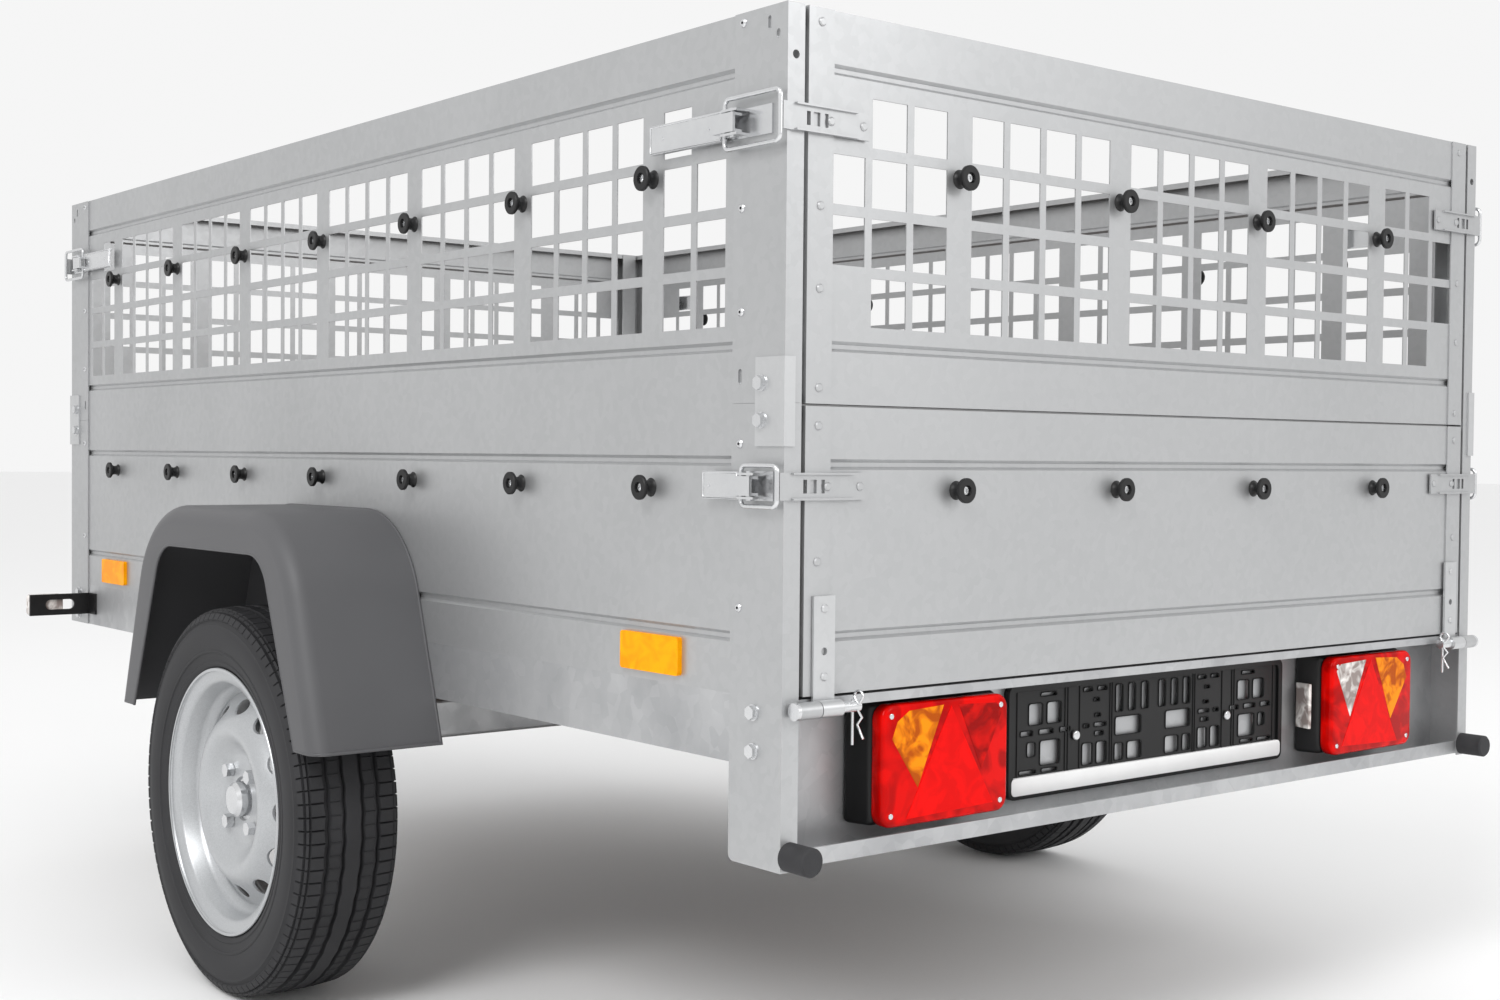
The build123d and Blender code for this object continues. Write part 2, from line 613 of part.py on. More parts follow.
STRAP_INNER_FACE = 0.5
STRAP_OUTER_FACE = 3.5
STRAP_HOLE_RISE = 58.0
STRAP_HOLE_RADIUS = 4.0
STRAP_RIVET_RISES = (32.0, 102.0)
with BuildPart() as tailgate_hinge_straps:
    strap_x = (HINGE_STRAP_INNER, HINGE_STRAP_OUTER)
    span(strap_x, (station(-STRAP_OUTER_FACE), station(-STRAP_INNER_FACE)), (HINGE_Z, HINGE_STRAP_TOP))
    rod((HINGE_STRAP_INNER, station(-HINGE_BACK), HINGE_Z), (1, 0, 0), HINGE_STRAP_WIDTH, KNUCKLE_RADIUS)
    bore_start = (HINGE_STRAP_INNER - 1, station(-HINGE_BACK), HINGE_Z)
    rod(bore_start, (1, 0, 0), HINGE_STRAP_WIDTH + 2, HINGE_PIN_RADIUS + RUNNING_GAP, Mode.SUBTRACT)
    strap_middle = (HINGE_STRAP_INNER + HINGE_STRAP_OUTER) / 2
    strap_hole = (strap_middle, station(-STRAP_OUTER_FACE), HINGE_Z + STRAP_HOLE_RISE)
    rod(strap_hole, (0, 1, 0), STRAP_OUTER_FACE, STRAP_HOLE_RADIUS, Mode.SUBTRACT)
    rivet_heights = [HINGE_Z + rise for rise in STRAP_RIVET_RISES]
    rivets_at([(strap_middle, station(-STRAP_OUTER_FACE), z) for z in rivet_heights], (0, -1, 0))
    mirror(about=Plane.YZ)
finish(tailgate_hinge_straps, "tailgate_hinge_straps")

rear_hook_x = [(i - (END_HOOKS - 1) / 2) * HOOK_PITCH for i in range(END_HOOKS)]
with BuildPart() as tailgate_hooks:
    hooks_at([(x, station(CHANNEL_SHEET), LOWER_HOOK_Z) for x in rear_hook_x], (0, -1, 0))
finish(tailgate_hooks, "tailgate_hooks")

# Removable mesh gates, rear and front
for gate, is_front in (("rear_mesh", False), ("front_mesh", True)):
    gate_face = BODY_LENGTH - CHANNEL_SHEET if is_front else CHANNEL_SHEET
    with BuildPart() as mesh_panel:
        end_wall(SEAM, BODY_TOP, is_front)
        window_face = Plane.XZ.offset(-station(gate_face))
        cut_windows(window_face, window_centres(GATE_HALF - CHANNEL_WIDTH, END_HOOKS, END_WINDOWS))
    finish(mesh_panel, f"{gate}_panel")

    with BuildPart() as mesh_edge_fittings:
        edge_fittings(SEAM, BODY_TOP, UPPER_LATCH_Z, CHANNEL_RIVETS_UPPER, is_front)
    finish(mesh_edge_fittings, f"{gate}_edge_fittings")

with BuildPart() as rear_mesh_hooks:
    hooks_at([(x, station(CHANNEL_SHEET), UPPER_HOOK_Z) for x in rear_hook_x], (0, -1, 0))
finish(rear_mesh_hooks, "rear_mesh_hooks")

# Tailgate hinge on the chassis: knuckles welded to the posts, pins with spring clips
KNUCKLE_OUTER = HALF - 10.0
KNUCKLE_GAP = 1.0
KNUCKLE_WEB_HALF = 7.0
PIN_INNER = HINGE_STRAP_INNER - 26.0
PIN_HEAD = 4.0
CLIP_X = PIN_INNER + 8.0
CLIP_WIRE = 1.5
CLIP_DROP = 40.0
knuckle_inner = HINGE_STRAP_OUTER + KNUCKLE_GAP
with BuildPart() as hinge_knuckles:
    knuckle_length = KNUCKLE_OUTER - knuckle_inner
    knuckle_start = (knuckle_inner, station(-HINGE_BACK), HINGE_Z)
    rod(knuckle_start, (1, 0, 0), knuckle_length, KNUCKLE_RADIUS)
    web_x = (HALF - POST_END_LEG + 1.5, KNUCKLE_OUTER)
    web_z = (HINGE_Z - KNUCKLE_WEB_HALF, HINGE_Z + KNUCKLE_WEB_HALF)
    span(web_x, (station(-HINGE_BACK), station(0)), web_z)
    rod(knuckle_start, (1, 0, 0), knuckle_length, HINGE_PIN_RADIUS + RUNNING_GAP, Mode.SUBTRACT)
    mirror(about=Plane.YZ)
finish(hinge_knuckles, "hinge_knuckles")

with BuildPart() as hinge_pins:
    pin_y = station(-HINGE_BACK)
    rod((PIN_INNER, pin_y, HINGE_Z), (1, 0, 0), KNUCKLE_OUTER - PIN_INNER, HINGE_PIN_RADIUS)
    rod((KNUCKLE_OUTER, pin_y, HINGE_Z), (1, 0, 0), PIN_HEAD, KNUCKLE_RADIUS)
    clip_length = CLIP_DROP + HINGE_PIN_RADIUS + 1
    rod((CLIP_X, pin_y, HINGE_Z - CLIP_DROP), (0, 0, 1), clip_length, CLIP_WIRE)
    mirror(about=Plane.YZ)
finish(hinge_pins, "hinge_pins")

# Rear lamps, plate holder, reflectors, markers, buffers
with BuildPart() as rear_lamp_housings:
    housing_y = (station(LENS_FACE + LENS_DEPTH), station(beam_back - RAIL_SHEET))
    span((LAMP_INNER, LAMP_OUTER), housing_y, (LAMP_BOTTOM, LAMP_TOP))
    fillet(rear_lamp_housings.edges().filter_by(Axis.Y), radius=LAMP_CORNER)
    mirror(about=Plane.YZ)
finish(rear_lamp_housings, "rear_lamp_housings")

with BuildPart() as rear_lamp_lenses:
    lens_y = (station(LENS_FACE), station(LENS_FACE + LENS_DEPTH))
    lens_x = (LAMP_INNER + LENS_INSET, LAMP_OUTER - LENS_INSET)
    span(lens_x, lens_y, (LAMP_BOTTOM + LENS_INSET, LAMP_TOP - LENS_INSET))
    fillet(rear_lamp_lenses.edges().filter_by(Axis.Y), radius=LAMP_CORNER - 1)
    mirror(about=Plane.YZ)
finish(rear_lamp_lenses, "rear_lamp_lenses")

with BuildPart() as plate_holder:
    holder_back = beam_back - RAIL_SHEET
    holder_y = (station(holder_back - PLATE_DEPTH), station(holder_back))
    span((-PLATE_HALF, PLATE_HALF), holder_y, (PLATE_BOTTOM, PLATE_TOP))
    recess_y = (holder_y[0], station(holder_back - PLATE_DEPTH + PLATE_RECESS))
    recess_z = (PLATE_BOTTOM + PLATE_STRIP, PLATE_TOP - PLATE_RIM)
    span((-PLATE_HALF + PLATE_RIM, PLATE_HALF - PLATE_RIM), recess_y, recess_z, Mode.SUBTRACT)
    with BuildSketch(Plane.XZ.offset(-station(holder_back))):
        with Locations((0, (PLATE_BOTTOM + PLATE_TOP) / 2 + PLATE_HOLE_LIFT)):
            with GridLocations(*PLATE_HOLE_PITCH, *PLATE_HOLES):
                Rectangle(*PLATE_HOLE_SIZE)
    extrude(amount=PLATE_DEPTH, mode=Mode.SUBTRACT)
finish(plate_holder, "plate_holder")

with BuildPart() as side_reflectors:
    for s in REFLECTOR_STATIONS:
        reflector_y = (station(s - REFLECTOR_LENGTH / 2), station(s + REFLECTOR_LENGTH / 2))
        reflector_z = (REFLECTOR_Z - REFLECTOR_HEIGHT / 2, REFLECTOR_Z + REFLECTOR_HEIGHT / 2)
        span((-PANEL_X - REFLECTOR_SHEET, -PANEL_X), reflector_y, reflector_z)
    mirror(about=Plane.YZ)
    fillet(side_reflectors.edges().filter_by(Axis.X), radius=4)
finish(side_reflectors, "side_reflectors")

MARKER_PLATE = 5.0
MARKER_HEIGHT = 38.0
MARKER_LAMP = 60.0
MARKER_LAMP_DEPTH = 16.0
MARKER_FOOT = (30.0, 4.0)
MARKER_SLOT = (52.0, 18.0)
with BuildPart() as marker_arms:
    marker_z = (MARKER_Z - MARKER_HEIGHT / 2, MARKER_Z + MARKER_HEIGHT / 2)
    arm_y = (station(MARKER_STATION), station(MARKER_STATION + MARKER_PLATE))
    span((-HALF - MARKER_REACH, -PANEL_X), arm_y, marker_z)
    foot_y = (station(MARKER_STATION - MARKER_FOOT[0]), station(MARKER_STATION + MARKER_PLATE))
    span((-PANEL_X - MARKER_FOOT[1], -PANEL_X), foot_y, marker_z)
    with BuildSketch(Plane.XZ.offset(-station(MARKER_STATION))):
        with Locations((-HALF - MARKER_REACH / 2, MARKER_Z)):
            SlotOverall(*MARKER_SLOT)
    extrude(amount=-MARKER_PLATE, mode=Mode.SUBTRACT)
    mirror(about=Plane.YZ)
finish(marker_arms, "marker_arms")

with BuildPart() as marker_lamps:
    lamp_face_x = -HALF - MARKER_REACH
    lamp_start = MARKER_STATION + MARKER_PLATE
    lamp_y = (station(lamp_start), station(lamp_start + MARKER_LAMP_DEPTH))
    span((lamp_face_x, lamp_face_x + MARKER_LAMP), lamp_y, marker_z)
    fillet(marker_lamps.edges().filter_by(Axis.Y), radius=6)
    mirror(about=Plane.YZ)
finish(marker_lamps, "marker_lamps")

with BuildPart() as rubber_buffers:
    rod((-BUFFER_X, station(-BUFFER_LENGTH), BUFFER_Z), (0, 1, 0), BUFFER_LENGTH, BUFFER_RADIUS)
    chamfer(rubber_buffers.edges().group_by(Axis.Y)[0], length=2)
    mirror(about=Plane.YZ)
finish(rubber_buffers, "rubber_buffers")

# Mudguards: arched shells with an inner wall against the body and an open outer skirt


def arch(x, foot_z, foot, shoulder, top, radius, amount, mode=Mode.ADD):
    """Extrudes a flat-topped arch with rounded shoulders outboard from a plane of constant X."""
    with BuildSketch(Plane.YZ.offset(x).shift_origin((x, station(GUARD_STATION), 0))) as face:
        with BuildLine():
            legs = [(-foot, foot_z), (-shoulder, top), (shoulder, top), (foot, foot_z)]
            hoop = FilletPolyline(*legs, radius=radius)
            Line(hoop @ 1, hoop @ 0)
        make_face()
    extrude(face.sketch, amount=-amount, mode=mode)


with BuildPart() as mudguards:
    guard_width = GUARD_OUTER - GUARD_INNER
    arch(
        -GUARD_INNER, GUARD_FOOT, GUARD_FOOT_REACH, GUARD_SHOULDER_REACH, GUARD_TOP,
        GUARD_CORNER_RADIUS, guard_width,
    )
    outer_rim = mudguards.edges().group_by(Axis.X)[0].filter_by(
        lambda edge: edge.center().Z > GUARD_FOOT + 1
    )
    fillet(outer_rim, radius=GUARD_EDGE_RADIUS)
    arch(
        -GUARD_INNER - GUARD_SHEET, GUARD_FOOT - 1, GUARD_FOOT_REACH - GUARD_SHEET,
        GUARD_SHOULDER_REACH - GUARD_SHEET, GUARD_TOP - GUARD_SHEET,
        GUARD_CORNER_RADIUS - GUARD_SHEET, guard_width - 2 * GUARD_SHEET, Mode.SUBTRACT,
    )
    arch(
        -GUARD_OUTER + GUARD_SHEET + 1, GUARD_FOOT - 1, ARCH_FOOT_REACH, ARCH_SHOULDER_REACH,
        GUARD_TOP - ARCH_DROP, ARCH_CORNER_RADIUS, GUARD_SHEET + 2, Mode.SUBTRACT,
    )
    mirror(about=Plane.YZ)
finish(mudguards, "mudguards")

# Axle: torsion tube across the chassis, brackets to the rails, trailing arms with stub axles
ARM_SHEET = 14.0
ARM_HEIGHT = 62.0
BEAM_HALF = HALF + 5.0
ARM_INNER = BEAM_HALF + 9.0
BEAM_CORNER = 6.0
BRACKET_WALL = 4.0
BRACKET_WIDTH = RAIL_FLANGE + 10.0
TORSION_GRIP = 90.0
ARM_BOSS_RADIUS = 22.0
HUB_INNER = WHEEL_X - 45.5
HUB_GAP = 0.5
HUB_BODY_RADIUS = 34.0
HUB_FACE = WHEEL_X + RIM_OFFSET
HUB_FLANGE = 10.0
HUB_END_WALL = 5.5
with BuildPart() as axle_beam:
    tube_y = station(TUBE_STATION)
    half_tube = AXLE_TUBE / 2
    tube_sides = (tube_y - half_tube, tube_y + half_tube)
    span((-BEAM_HALF, BEAM_HALF), tube_sides, (TUBE_TOP - AXLE_TUBE, TUBE_TOP))
    fillet(axle_beam.edges().filter_by(Axis.X), radius=BEAM_CORNER)
    bore_radius = TORSION_RADIUS + RUNNING_GAP
    rod((-BEAM_HALF, tube_y, TUBE_Z), (1, 0, 0), 2 * BEAM_HALF, bore_radius, Mode.SUBTRACT)
finish(axle_beam, "axle_beam")

with BuildPart() as axle_brackets:
    bracket_x = (-PANEL_X, -PANEL_X + BRACKET_WIDTH)
    span(bracket_x, tube_sides, (TUBE_TOP, RAIL_BOTTOM))
    hollow_y = (tube_sides[0] + BRACKET_WALL, tube_sides[1] - BRACKET_WALL)
    span(bracket_x, hollow_y, (TUBE_TOP + BRACKET_WALL, RAIL_BOTTOM - BRACKET_WALL), Mode.SUBTRACT)
    mirror(about=Plane.YZ)
finish(axle_brackets, "axle_brackets")

TREAD_CROWN = 4.0
TREAD_DEPTH = 18.0
TREAD_INSET = 14.0
SHOULDER_DROP = 10.0
SHOULDER_REACH = 9.0
BEAD_HEIGHT = 19.0
CAP_RADIUS = 24.0
CAP_LENGTH = 20.0
CAP_BEVEL = 5.0
RIM_CENTRE_RADIUS = 30.0
RIM_SLOTS = 12
RIM_SLOT_SIZE = (30.0, 15.0)
SLOT_CIRCLE_RADIUS = 128.0
WELL_DEPTH = 15.0
WHEEL_BOLTS = 4
BOLT_TURN = 45.0
WHEEL_BOLT_RADIUS = 6.0
WHEEL_BOLT_HEX = 17.0
WHEEL_BOLT_HEAD = 11.0
BOLT_PLAY = 0.1
RIM_BOLT_HOLE = 6.5

for side, sign in (("left", -1), ("right", 1)):
    wheel_centre = (sign * WHEEL_X, station(AXLE_STATION), WHEEL_Z)
    wheel_plane = Plane(origin=wheel_centre, x_dir=(sign, 0, 0), z_dir=(0, -sign, 0))
    wheel_axis = Axis(wheel_centre, (1, 0, 0))
    outward = (sign, 0, 0)

    with BuildPart() as swing_arm:
        pivot = Vector(sign * ARM_INNER, tube_y, TUBE_Z)
        hub_point = Vector(sign * ARM_INNER, station(AXLE_STATION), WHEEL_Z)
        arm_line = hub_point - pivot
        arm_plane = Plane(origin=pivot, x_dir=arm_line, z_dir=outward)
        with BuildSketch(arm_plane):
            with Locations((arm_line.length / 2, 0)):
                SlotCenterToCenter(arm_line.length, ARM_HEIGHT)
        extrude(amount=ARM_SHEET)
        rod(pivot, (-sign, 0, 0), ARM_INNER - BEAM_HALF + TORSION_GRIP, TORSION_RADIUS)
        boss_start = hub_point + Vector(sign * ARM_SHEET, 0, 0)
        rod(boss_start, outward, HUB_INNER - ARM_INNER - ARM_SHEET, ARM_BOSS_RADIUS)
        stub_start = Vector(sign * HUB_INNER, station(AXLE_STATION), WHEEL_Z)
        rod(stub_start, outward, HUB_FACE - HUB_INNER - HUB_END_WALL - HUB_GAP, STUB_RADIUS)
    finish(swing_arm, f"swing_arm_{side}")

    with BuildPart() as hub:
        hub_start = Vector(sign * (HUB_INNER + HUB_GAP), station(AXLE_STATION), WHEEL_Z)
        rod(hub_start, outward, HUB_FACE - HUB_INNER - HUB_GAP, HUB_BODY_RADIUS)
        flange_start = Vector(sign * (HUB_FACE - HUB_FLANGE), station(AXLE_STATION), WHEEL_Z)
        rod(flange_start, outward, HUB_FLANGE, HUB_FLANGE_RADIUS)
        face_centre = Vector(sign * HUB_FACE, station(AXLE_STATION), WHEEL_Z)
        rod(face_centre, outward, CAP_LENGTH, CAP_RADIUS)
        chamfer(hub.faces().sort_by(Axis((0, 0, 0), outward))[-1].edges(), length=CAP_BEVEL)
        bore_length = HUB_FACE - HUB_INNER - HUB_END_WALL
        rod(hub_start, outward, bore_length, STUB_RADIUS + RUNNING_GAP, Mode.SUBTRACT)
        with BuildSketch(Plane(origin=face_centre, z_dir=outward)):
            with PolarLocations(BOLT_CIRCLE / 2, WHEEL_BOLTS, start_angle=BOLT_TURN):
                Circle(WHEEL_BOLT_RADIUS)
        extrude(amount=-HUB_FLANGE, mode=Mode.SUBTRACT)
        bolt_face = Vector(sign * (HUB_FACE + RIM_SHEET), station(AXLE_STATION), WHEEL_Z)
        with BuildSketch(Plane(origin=bolt_face, z_dir=outward)):
            with PolarLocations(BOLT_CIRCLE / 2, WHEEL_BOLTS, start_angle=BOLT_TURN):
                RegularPolygon(WHEEL_BOLT_HEX / 2, 6, major_radius=False)
        extrude(amount=WHEEL_BOLT_HEAD)
        with BuildSketch(Plane(origin=bolt_face, z_dir=outward)):
            with PolarLocations(BOLT_CIRCLE / 2, WHEEL_BOLTS, start_angle=BOLT_TURN):
                Circle(WHEEL_BOLT_RADIUS - BOLT_PLAY)
        extrude(amount=-(RIM_SHEET + HUB_FLANGE))
    finish(hub, f"hub_{side}")

    with BuildPart() as rim:
        sheet = RIM_SHEET
        barrel = [
            (RIM_HALF_WIDTH + 4, RIM_FLANGE_RADIUS), (RIM_HALF_WIDTH, RIM_FLANGE_RADIUS),
            (RIM_HALF_WIDTH - 4, BEAD_SEAT_RADIUS + 4), (RIM_HALF_WIDTH - 8, BEAD_SEAT_RADIUS),
            (34, BEAD_SEAT_RADIUS - 3), (24, BEAD_SEAT_RADIUS - WELL_DEPTH),
            (-14, BEAD_SEAT_RADIUS - WELL_DEPTH),
            (-26, BEAD_SEAT_RADIUS - 3), (-RIM_HALF_WIDTH + 8, BEAD_SEAT_RADIUS),
            (-RIM_HALF_WIDTH + 4, BEAD_SEAT_RADIUS + 4), (-RIM_HALF_WIDTH, RIM_FLANGE_RADIUS),
            (-RIM_HALF_WIDTH - 4, RIM_FLANGE_RADIUS),
            (-RIM_HALF_WIDTH, BEAD_SEAT_RADIUS), (-RIM_HALF_WIDTH + 6, BEAD_SEAT_RADIUS - sheet),
            (-30, BEAD_SEAT_RADIUS - 4 - sheet), (-18, BEAD_SEAT_RADIUS - WELL_DEPTH - sheet),
            (28, BEAD_SEAT_RADIUS - WELL_DEPTH - sheet), (38, BEAD_SEAT_RADIUS - 4 - sheet),
            (RIM_HALF_WIDTH - 6, BEAD_SEAT_RADIUS - sheet), (RIM_HALF_WIDTH, BEAD_SEAT_RADIUS),
        ]
        with BuildSketch(wheel_plane):
            with BuildLine():
                Polyline(*barrel, close=True)
            make_face()
        revolve(axis=wheel_axis)
        offset_x = RIM_OFFSET
        disc_face = [
            (offset_x, RIM_CENTRE_RADIUS), (offset_x, 68), (offset_x + 14, 90), (offset_x + 15, 112),
            (offset_x + 4, 136), (offset_x - 4, BEAD_SEAT_RADIUS - 14 - sheet),
            (offset_x + 1, BEAD_SEAT_RADIUS - 14 - sheet), (offset_x + 8.5, 137.5),
            (offset_x + 19.5, 113), (offset_x + 18.5, 88), (offset_x + sheet, 65.5),
            (offset_x + sheet, RIM_CENTRE_RADIUS),
        ]
        with BuildSketch(wheel_plane):
            with BuildLine():
                Polyline(*disc_face, close=True)
            make_face()
        revolve(axis=wheel_axis)
        with BuildSketch(Plane(origin=wheel_centre, z_dir=outward)):
            with PolarLocations(BOLT_CIRCLE / 2, WHEEL_BOLTS, start_angle=BOLT_TURN):
                Circle(RIM_BOLT_HOLE)
            with PolarLocations(SLOT_CIRCLE_RADIUS, RIM_SLOTS):
                SlotOverall(*RIM_SLOT_SIZE, rotation=90)
        extrude(amount=RIM_OFFSET + 40, mode=Mode.SUBTRACT)
    finish(rim, f"rim_{side}")

    with BuildPart() as tyre:
        half = TYRE_WIDTH / 2
        tread = half - TREAD_INSET
        shoulder = TYRE_RADIUS - SHOULDER_DROP
        bead_top = BEAD_SEAT_RADIUS + BEAD_HEIGHT
        bulge = (shoulder + bead_top) / 2
        crown_edge = TYRE_RADIUS - TREAD_CROWN
        lining = TYRE_RADIUS - TREAD_DEPTH
        wall_foot = RIM_HALF_WIDTH - 0.5
        bead = [
            (wall_foot, RIM_FLANGE_RADIUS), (RIM_HALF_WIDTH - 5, BEAD_SEAT_RADIUS + 4),
            (RIM_HALF_WIDTH - 10, BEAD_SEAT_RADIUS + 0.4), (RIM_HALF_WIDTH - 24, BEAD_SEAT_RADIUS + 1),
            (RIM_HALF_WIDTH - 22, BEAD_SEAT_RADIUS + 14),
        ]
        with BuildSketch(wheel_plane):
            with BuildLine():
                crown_middle = (tread / 2, TYRE_RADIUS - TREAD_CROWN / 4)
                crown = ThreePointArc((0, TYRE_RADIUS), crown_middle, (tread, crown_edge))
                tread_edge = Line(crown @ 1, (tread + SHOULDER_REACH, shoulder))
                wall = ThreePointArc(tread_edge @ 1, (half, bulge), (wall_foot, bead_top))
                bead_line = Polyline(wall @ 1, *bead)
                inside = ThreePointArc(bead_line @ 1, (half - TYRE_WALL, bulge), (tread - 4, lining))
                Polyline(inside @ 1, (0, lining), (0, TYRE_RADIUS))
            make_face()
            mirror(about=Plane.YZ)
        revolve(axis=wheel_axis)
    finish(tyre, f"tyre_{side}")

# Drawbar and ball coupling
DRAWBAR_END = DRAWBAR_REACH - 100.0
DRAWBAR_BOTTOM = RAIL_BOTTOM - DRAWBAR_SIZE
DRAWBAR_CORNER = 5.0
SLEEVE_LENGTH = 85.0
SLEEVE_WALL = 5.0
HEAD_HEIGHT = 60.0
HEAD_BELOW = 24.0
HEAD_BEVEL = 6.0
NECK_DROP = 8.0
NECK_HALF = 24.0
LEVER_STATION = SOCKET_STATION - 32.0
LEVER_Z = SOCKET_Z + 52.0
LEVER_PIN_RADIUS = 4.0
LEVER_BARREL_RADIUS = 9.0
LEVER_HALF = 11.5
LEVER_LENGTH = 112.0
GRIP_LENGTH = 40.0
GRIP_SIDE = 5.0
EAR_SHEET = 4.0
EAR_PLAY = 0.5
EAR_HALF = 12.0
with BuildPart() as drawbar:
    bar_half = DRAWBAR_SIZE / 2
    bar_y = (station(TUBE_STATION - DRAWBAR_OVERLAP), station(BODY_LENGTH + DRAWBAR_END))
    span((-bar_half, bar_half), bar_y, (DRAWBAR_BOTTOM, RAIL_BOTTOM))
    fillet(drawbar.edges().filter_by(Axis.Y), radius=DRAWBAR_CORNER)
    hollow = bar_half - DRAWBAR_WALL
    hollow_z = (DRAWBAR_BOTTOM + DRAWBAR_WALL, RAIL_BOTTOM - DRAWBAR_WALL)
    span((-hollow, hollow), bar_y, hollow_z, Mode.SUBTRACT)
finish(drawbar, "drawbar")

with BuildPart() as coupling_body:
    sleeve_half = bar_half + SLEEVE_WALL
    sleeve_y = (bar_y[1] - SLEEVE_LENGTH, bar_y[1])
    sleeve_z = (DRAWBAR_BOTTOM - SLEEVE_WALL, RAIL_BOTTOM + SLEEVE_WALL)
    span((-sleeve_half, sleeve_half), sleeve_y, sleeve_z)
    span((-bar_half, bar_half), sleeve_y, (DRAWBAR_BOTTOM, RAIL_BOTTOM), Mode.SUBTRACT)
    span((-sleeve_half, sleeve_half), (bar_y[1], bar_y[1] + SLEEVE_WALL), sleeve_z)
    head_low = SOCKET_Z - HEAD_BELOW
    neck_y = (bar_y[1], station(SOCKET_STATION))
    neck_top = head_low + HEAD_HEIGHT - NECK_DROP
    span((-NECK_HALF, NECK_HALF), neck_y, (head_low + HEAD_BEVEL, neck_top))
    rod((0, station(SOCKET_STATION), head_low), (0, 0, 1), HEAD_HEIGHT, HEAD_RADIUS)
    crown_edges = coupling_body.edges().filter_by(GeomType.CIRCLE).group_by(Axis.Z)[-1]
    chamfer(crown_edges, length=HEAD_BEVEL)
    mouth = (0, station(SOCKET_STATION), head_low - 1)
    rod(mouth, (0, 0, 1), HEAD_BELOW + 1, SOCKET_RADIUS, Mode.SUBTRACT)
    with Locations((0, station(SOCKET_STATION), SOCKET_Z)):
        Sphere(SOCKET_RADIUS, mode=Mode.SUBTRACT)
    lever_y = station(LEVER_STATION)
    for ear in (-1, 1):
        ear_x = (ear * (LEVER_HALF + EAR_PLAY), ear * (LEVER_HALF + EAR_PLAY + EAR_SHEET))
        span(ear_x, (lever_y - EAR_HALF, lever_y + EAR_HALF), (neck_top - 2, LEVER_Z + 10))
    pin_half = LEVER_HALF + EAR_PLAY + EAR_SHEET
    rod((-pin_half, lever_y, LEVER_Z), (1, 0, 0), 2 * pin_half, LEVER_PIN_RADIUS)
finish(coupling_body, "coupling_body")

with BuildPart() as coupling_lever:
    rod((-LEVER_HALF, lever_y, LEVER_Z), (1, 0, 0), 2 * LEVER_HALF, LEVER_BARREL_RADIUS)
    handle_z = (LEVER_Z + 1, LEVER_Z + 8)
    span((-LEVER_HALF, LEVER_HALF), (lever_y - LEVER_LENGTH, lever_y), handle_z)
    grip_y = (lever_y - LEVER_LENGTH, lever_y - LEVER_LENGTH + GRIP_LENGTH)
    span((-LEVER_HALF - GRIP_SIDE, LEVER_HALF + GRIP_SIDE), grip_y, (LEVER_Z - 2, LEVER_Z + 12))
    fillet(coupling_lever.edges().filter_by(Axis.Z).group_by(Axis.Y)[0], radius=6)
    bore_radius = LEVER_PIN_RADIUS + RUNNING_GAP
    rod((-LEVER_HALF, lever_y, LEVER_Z), (1, 0, 0), 2 * LEVER_HALF, bore_radius, Mode.SUBTRACT)
finish(coupling_lever, "coupling_lever")

# Prop stand: clamp on the drawbar, sliding leg with a foot, clamping screw
CLAMP_LENGTH = 90.0
CLAMP_WALL = 7.0
CLAMP_DROP = 15.0
CLAMP_WEB_HALF = 24.0
BOSS_RADIUS = 11.0
BOSS_LENGTH = 14.0
SCREW_RADIUS = 5.0
LEG_WALL = 3.0
FOOT_PLATE = 5.0
LEG_CAP = 3.0
TEE_OFFSET = 66.0
TEE_HALF = 36.0
TEE_RADIUS = 4.0
with BuildPart() as prop_clamp:
    prop_y = station(PROP_Y_STATION)
    clamp_z = DRAWBAR_BOTTOM - CLAMP_DROP
    rod((PROP_X, prop_y, clamp_z), (0, 0, 1), CLAMP_LENGTH, PROP_RADIUS + CLAMP_WALL)
    web_y = (prop_y - CLAMP_WEB_HALF, prop_y + CLAMP_WEB_HALF)
    span((PROP_X, -bar_half), web_y, (DRAWBAR_BOTTOM, RAIL_BOTTOM))
    boss_start = (PROP_X - PROP_RADIUS, prop_y, clamp_z + CLAMP_LENGTH / 2)
    rod(boss_start, (-1, 0, 0), CLAMP_WALL + BOSS_LENGTH, BOSS_RADIUS)
    bore_radius = PROP_RADIUS + RUNNING_GAP
    rod((PROP_X, prop_y, clamp_z), (0, 0, 1), CLAMP_LENGTH, bore_radius, Mode.SUBTRACT)
    thread_radius = SCREW_RADIUS + RUNNING_GAP
    rod(boss_start, (-1, 0, 0), CLAMP_WALL + BOSS_LENGTH + 1, thread_radius, Mode.SUBTRACT)
finish(prop_clamp, "prop_clamp")

with BuildPart() as prop_leg:
    leg_length = PROP_TOP - FOOT_PLATE
    leg_start = (PROP_X, prop_y, FOOT_PLATE)
    rod(leg_start, (0, 0, 1), leg_length, PROP_RADIUS)
    rod(leg_start, (0, 0, 1), leg_length - LEG_CAP, PROP_RADIUS - LEG_WALL, Mode.SUBTRACT)
    rod((PROP_X, prop_y, 0), (0, 0, 1), FOOT_PLATE, PROP_FOOT)
finish(prop_leg, "prop_leg")

with BuildPart() as prop_screw:
    screw_start = Vector(PROP_X - PROP_RADIUS - FREE_GAP, prop_y, clamp_z + CLAMP_LENGTH / 2)
    rod(screw_start, (-1, 0, 0), TEE_OFFSET - PROP_RADIUS, SCREW_RADIUS)
    tee = (PROP_X - TEE_OFFSET, prop_y, screw_start.Z - TEE_HALF)
    rod(tee, (0, 0, 1), 2 * TEE_HALF, TEE_RADIUS)
finish(prop_screw, "prop_screw")

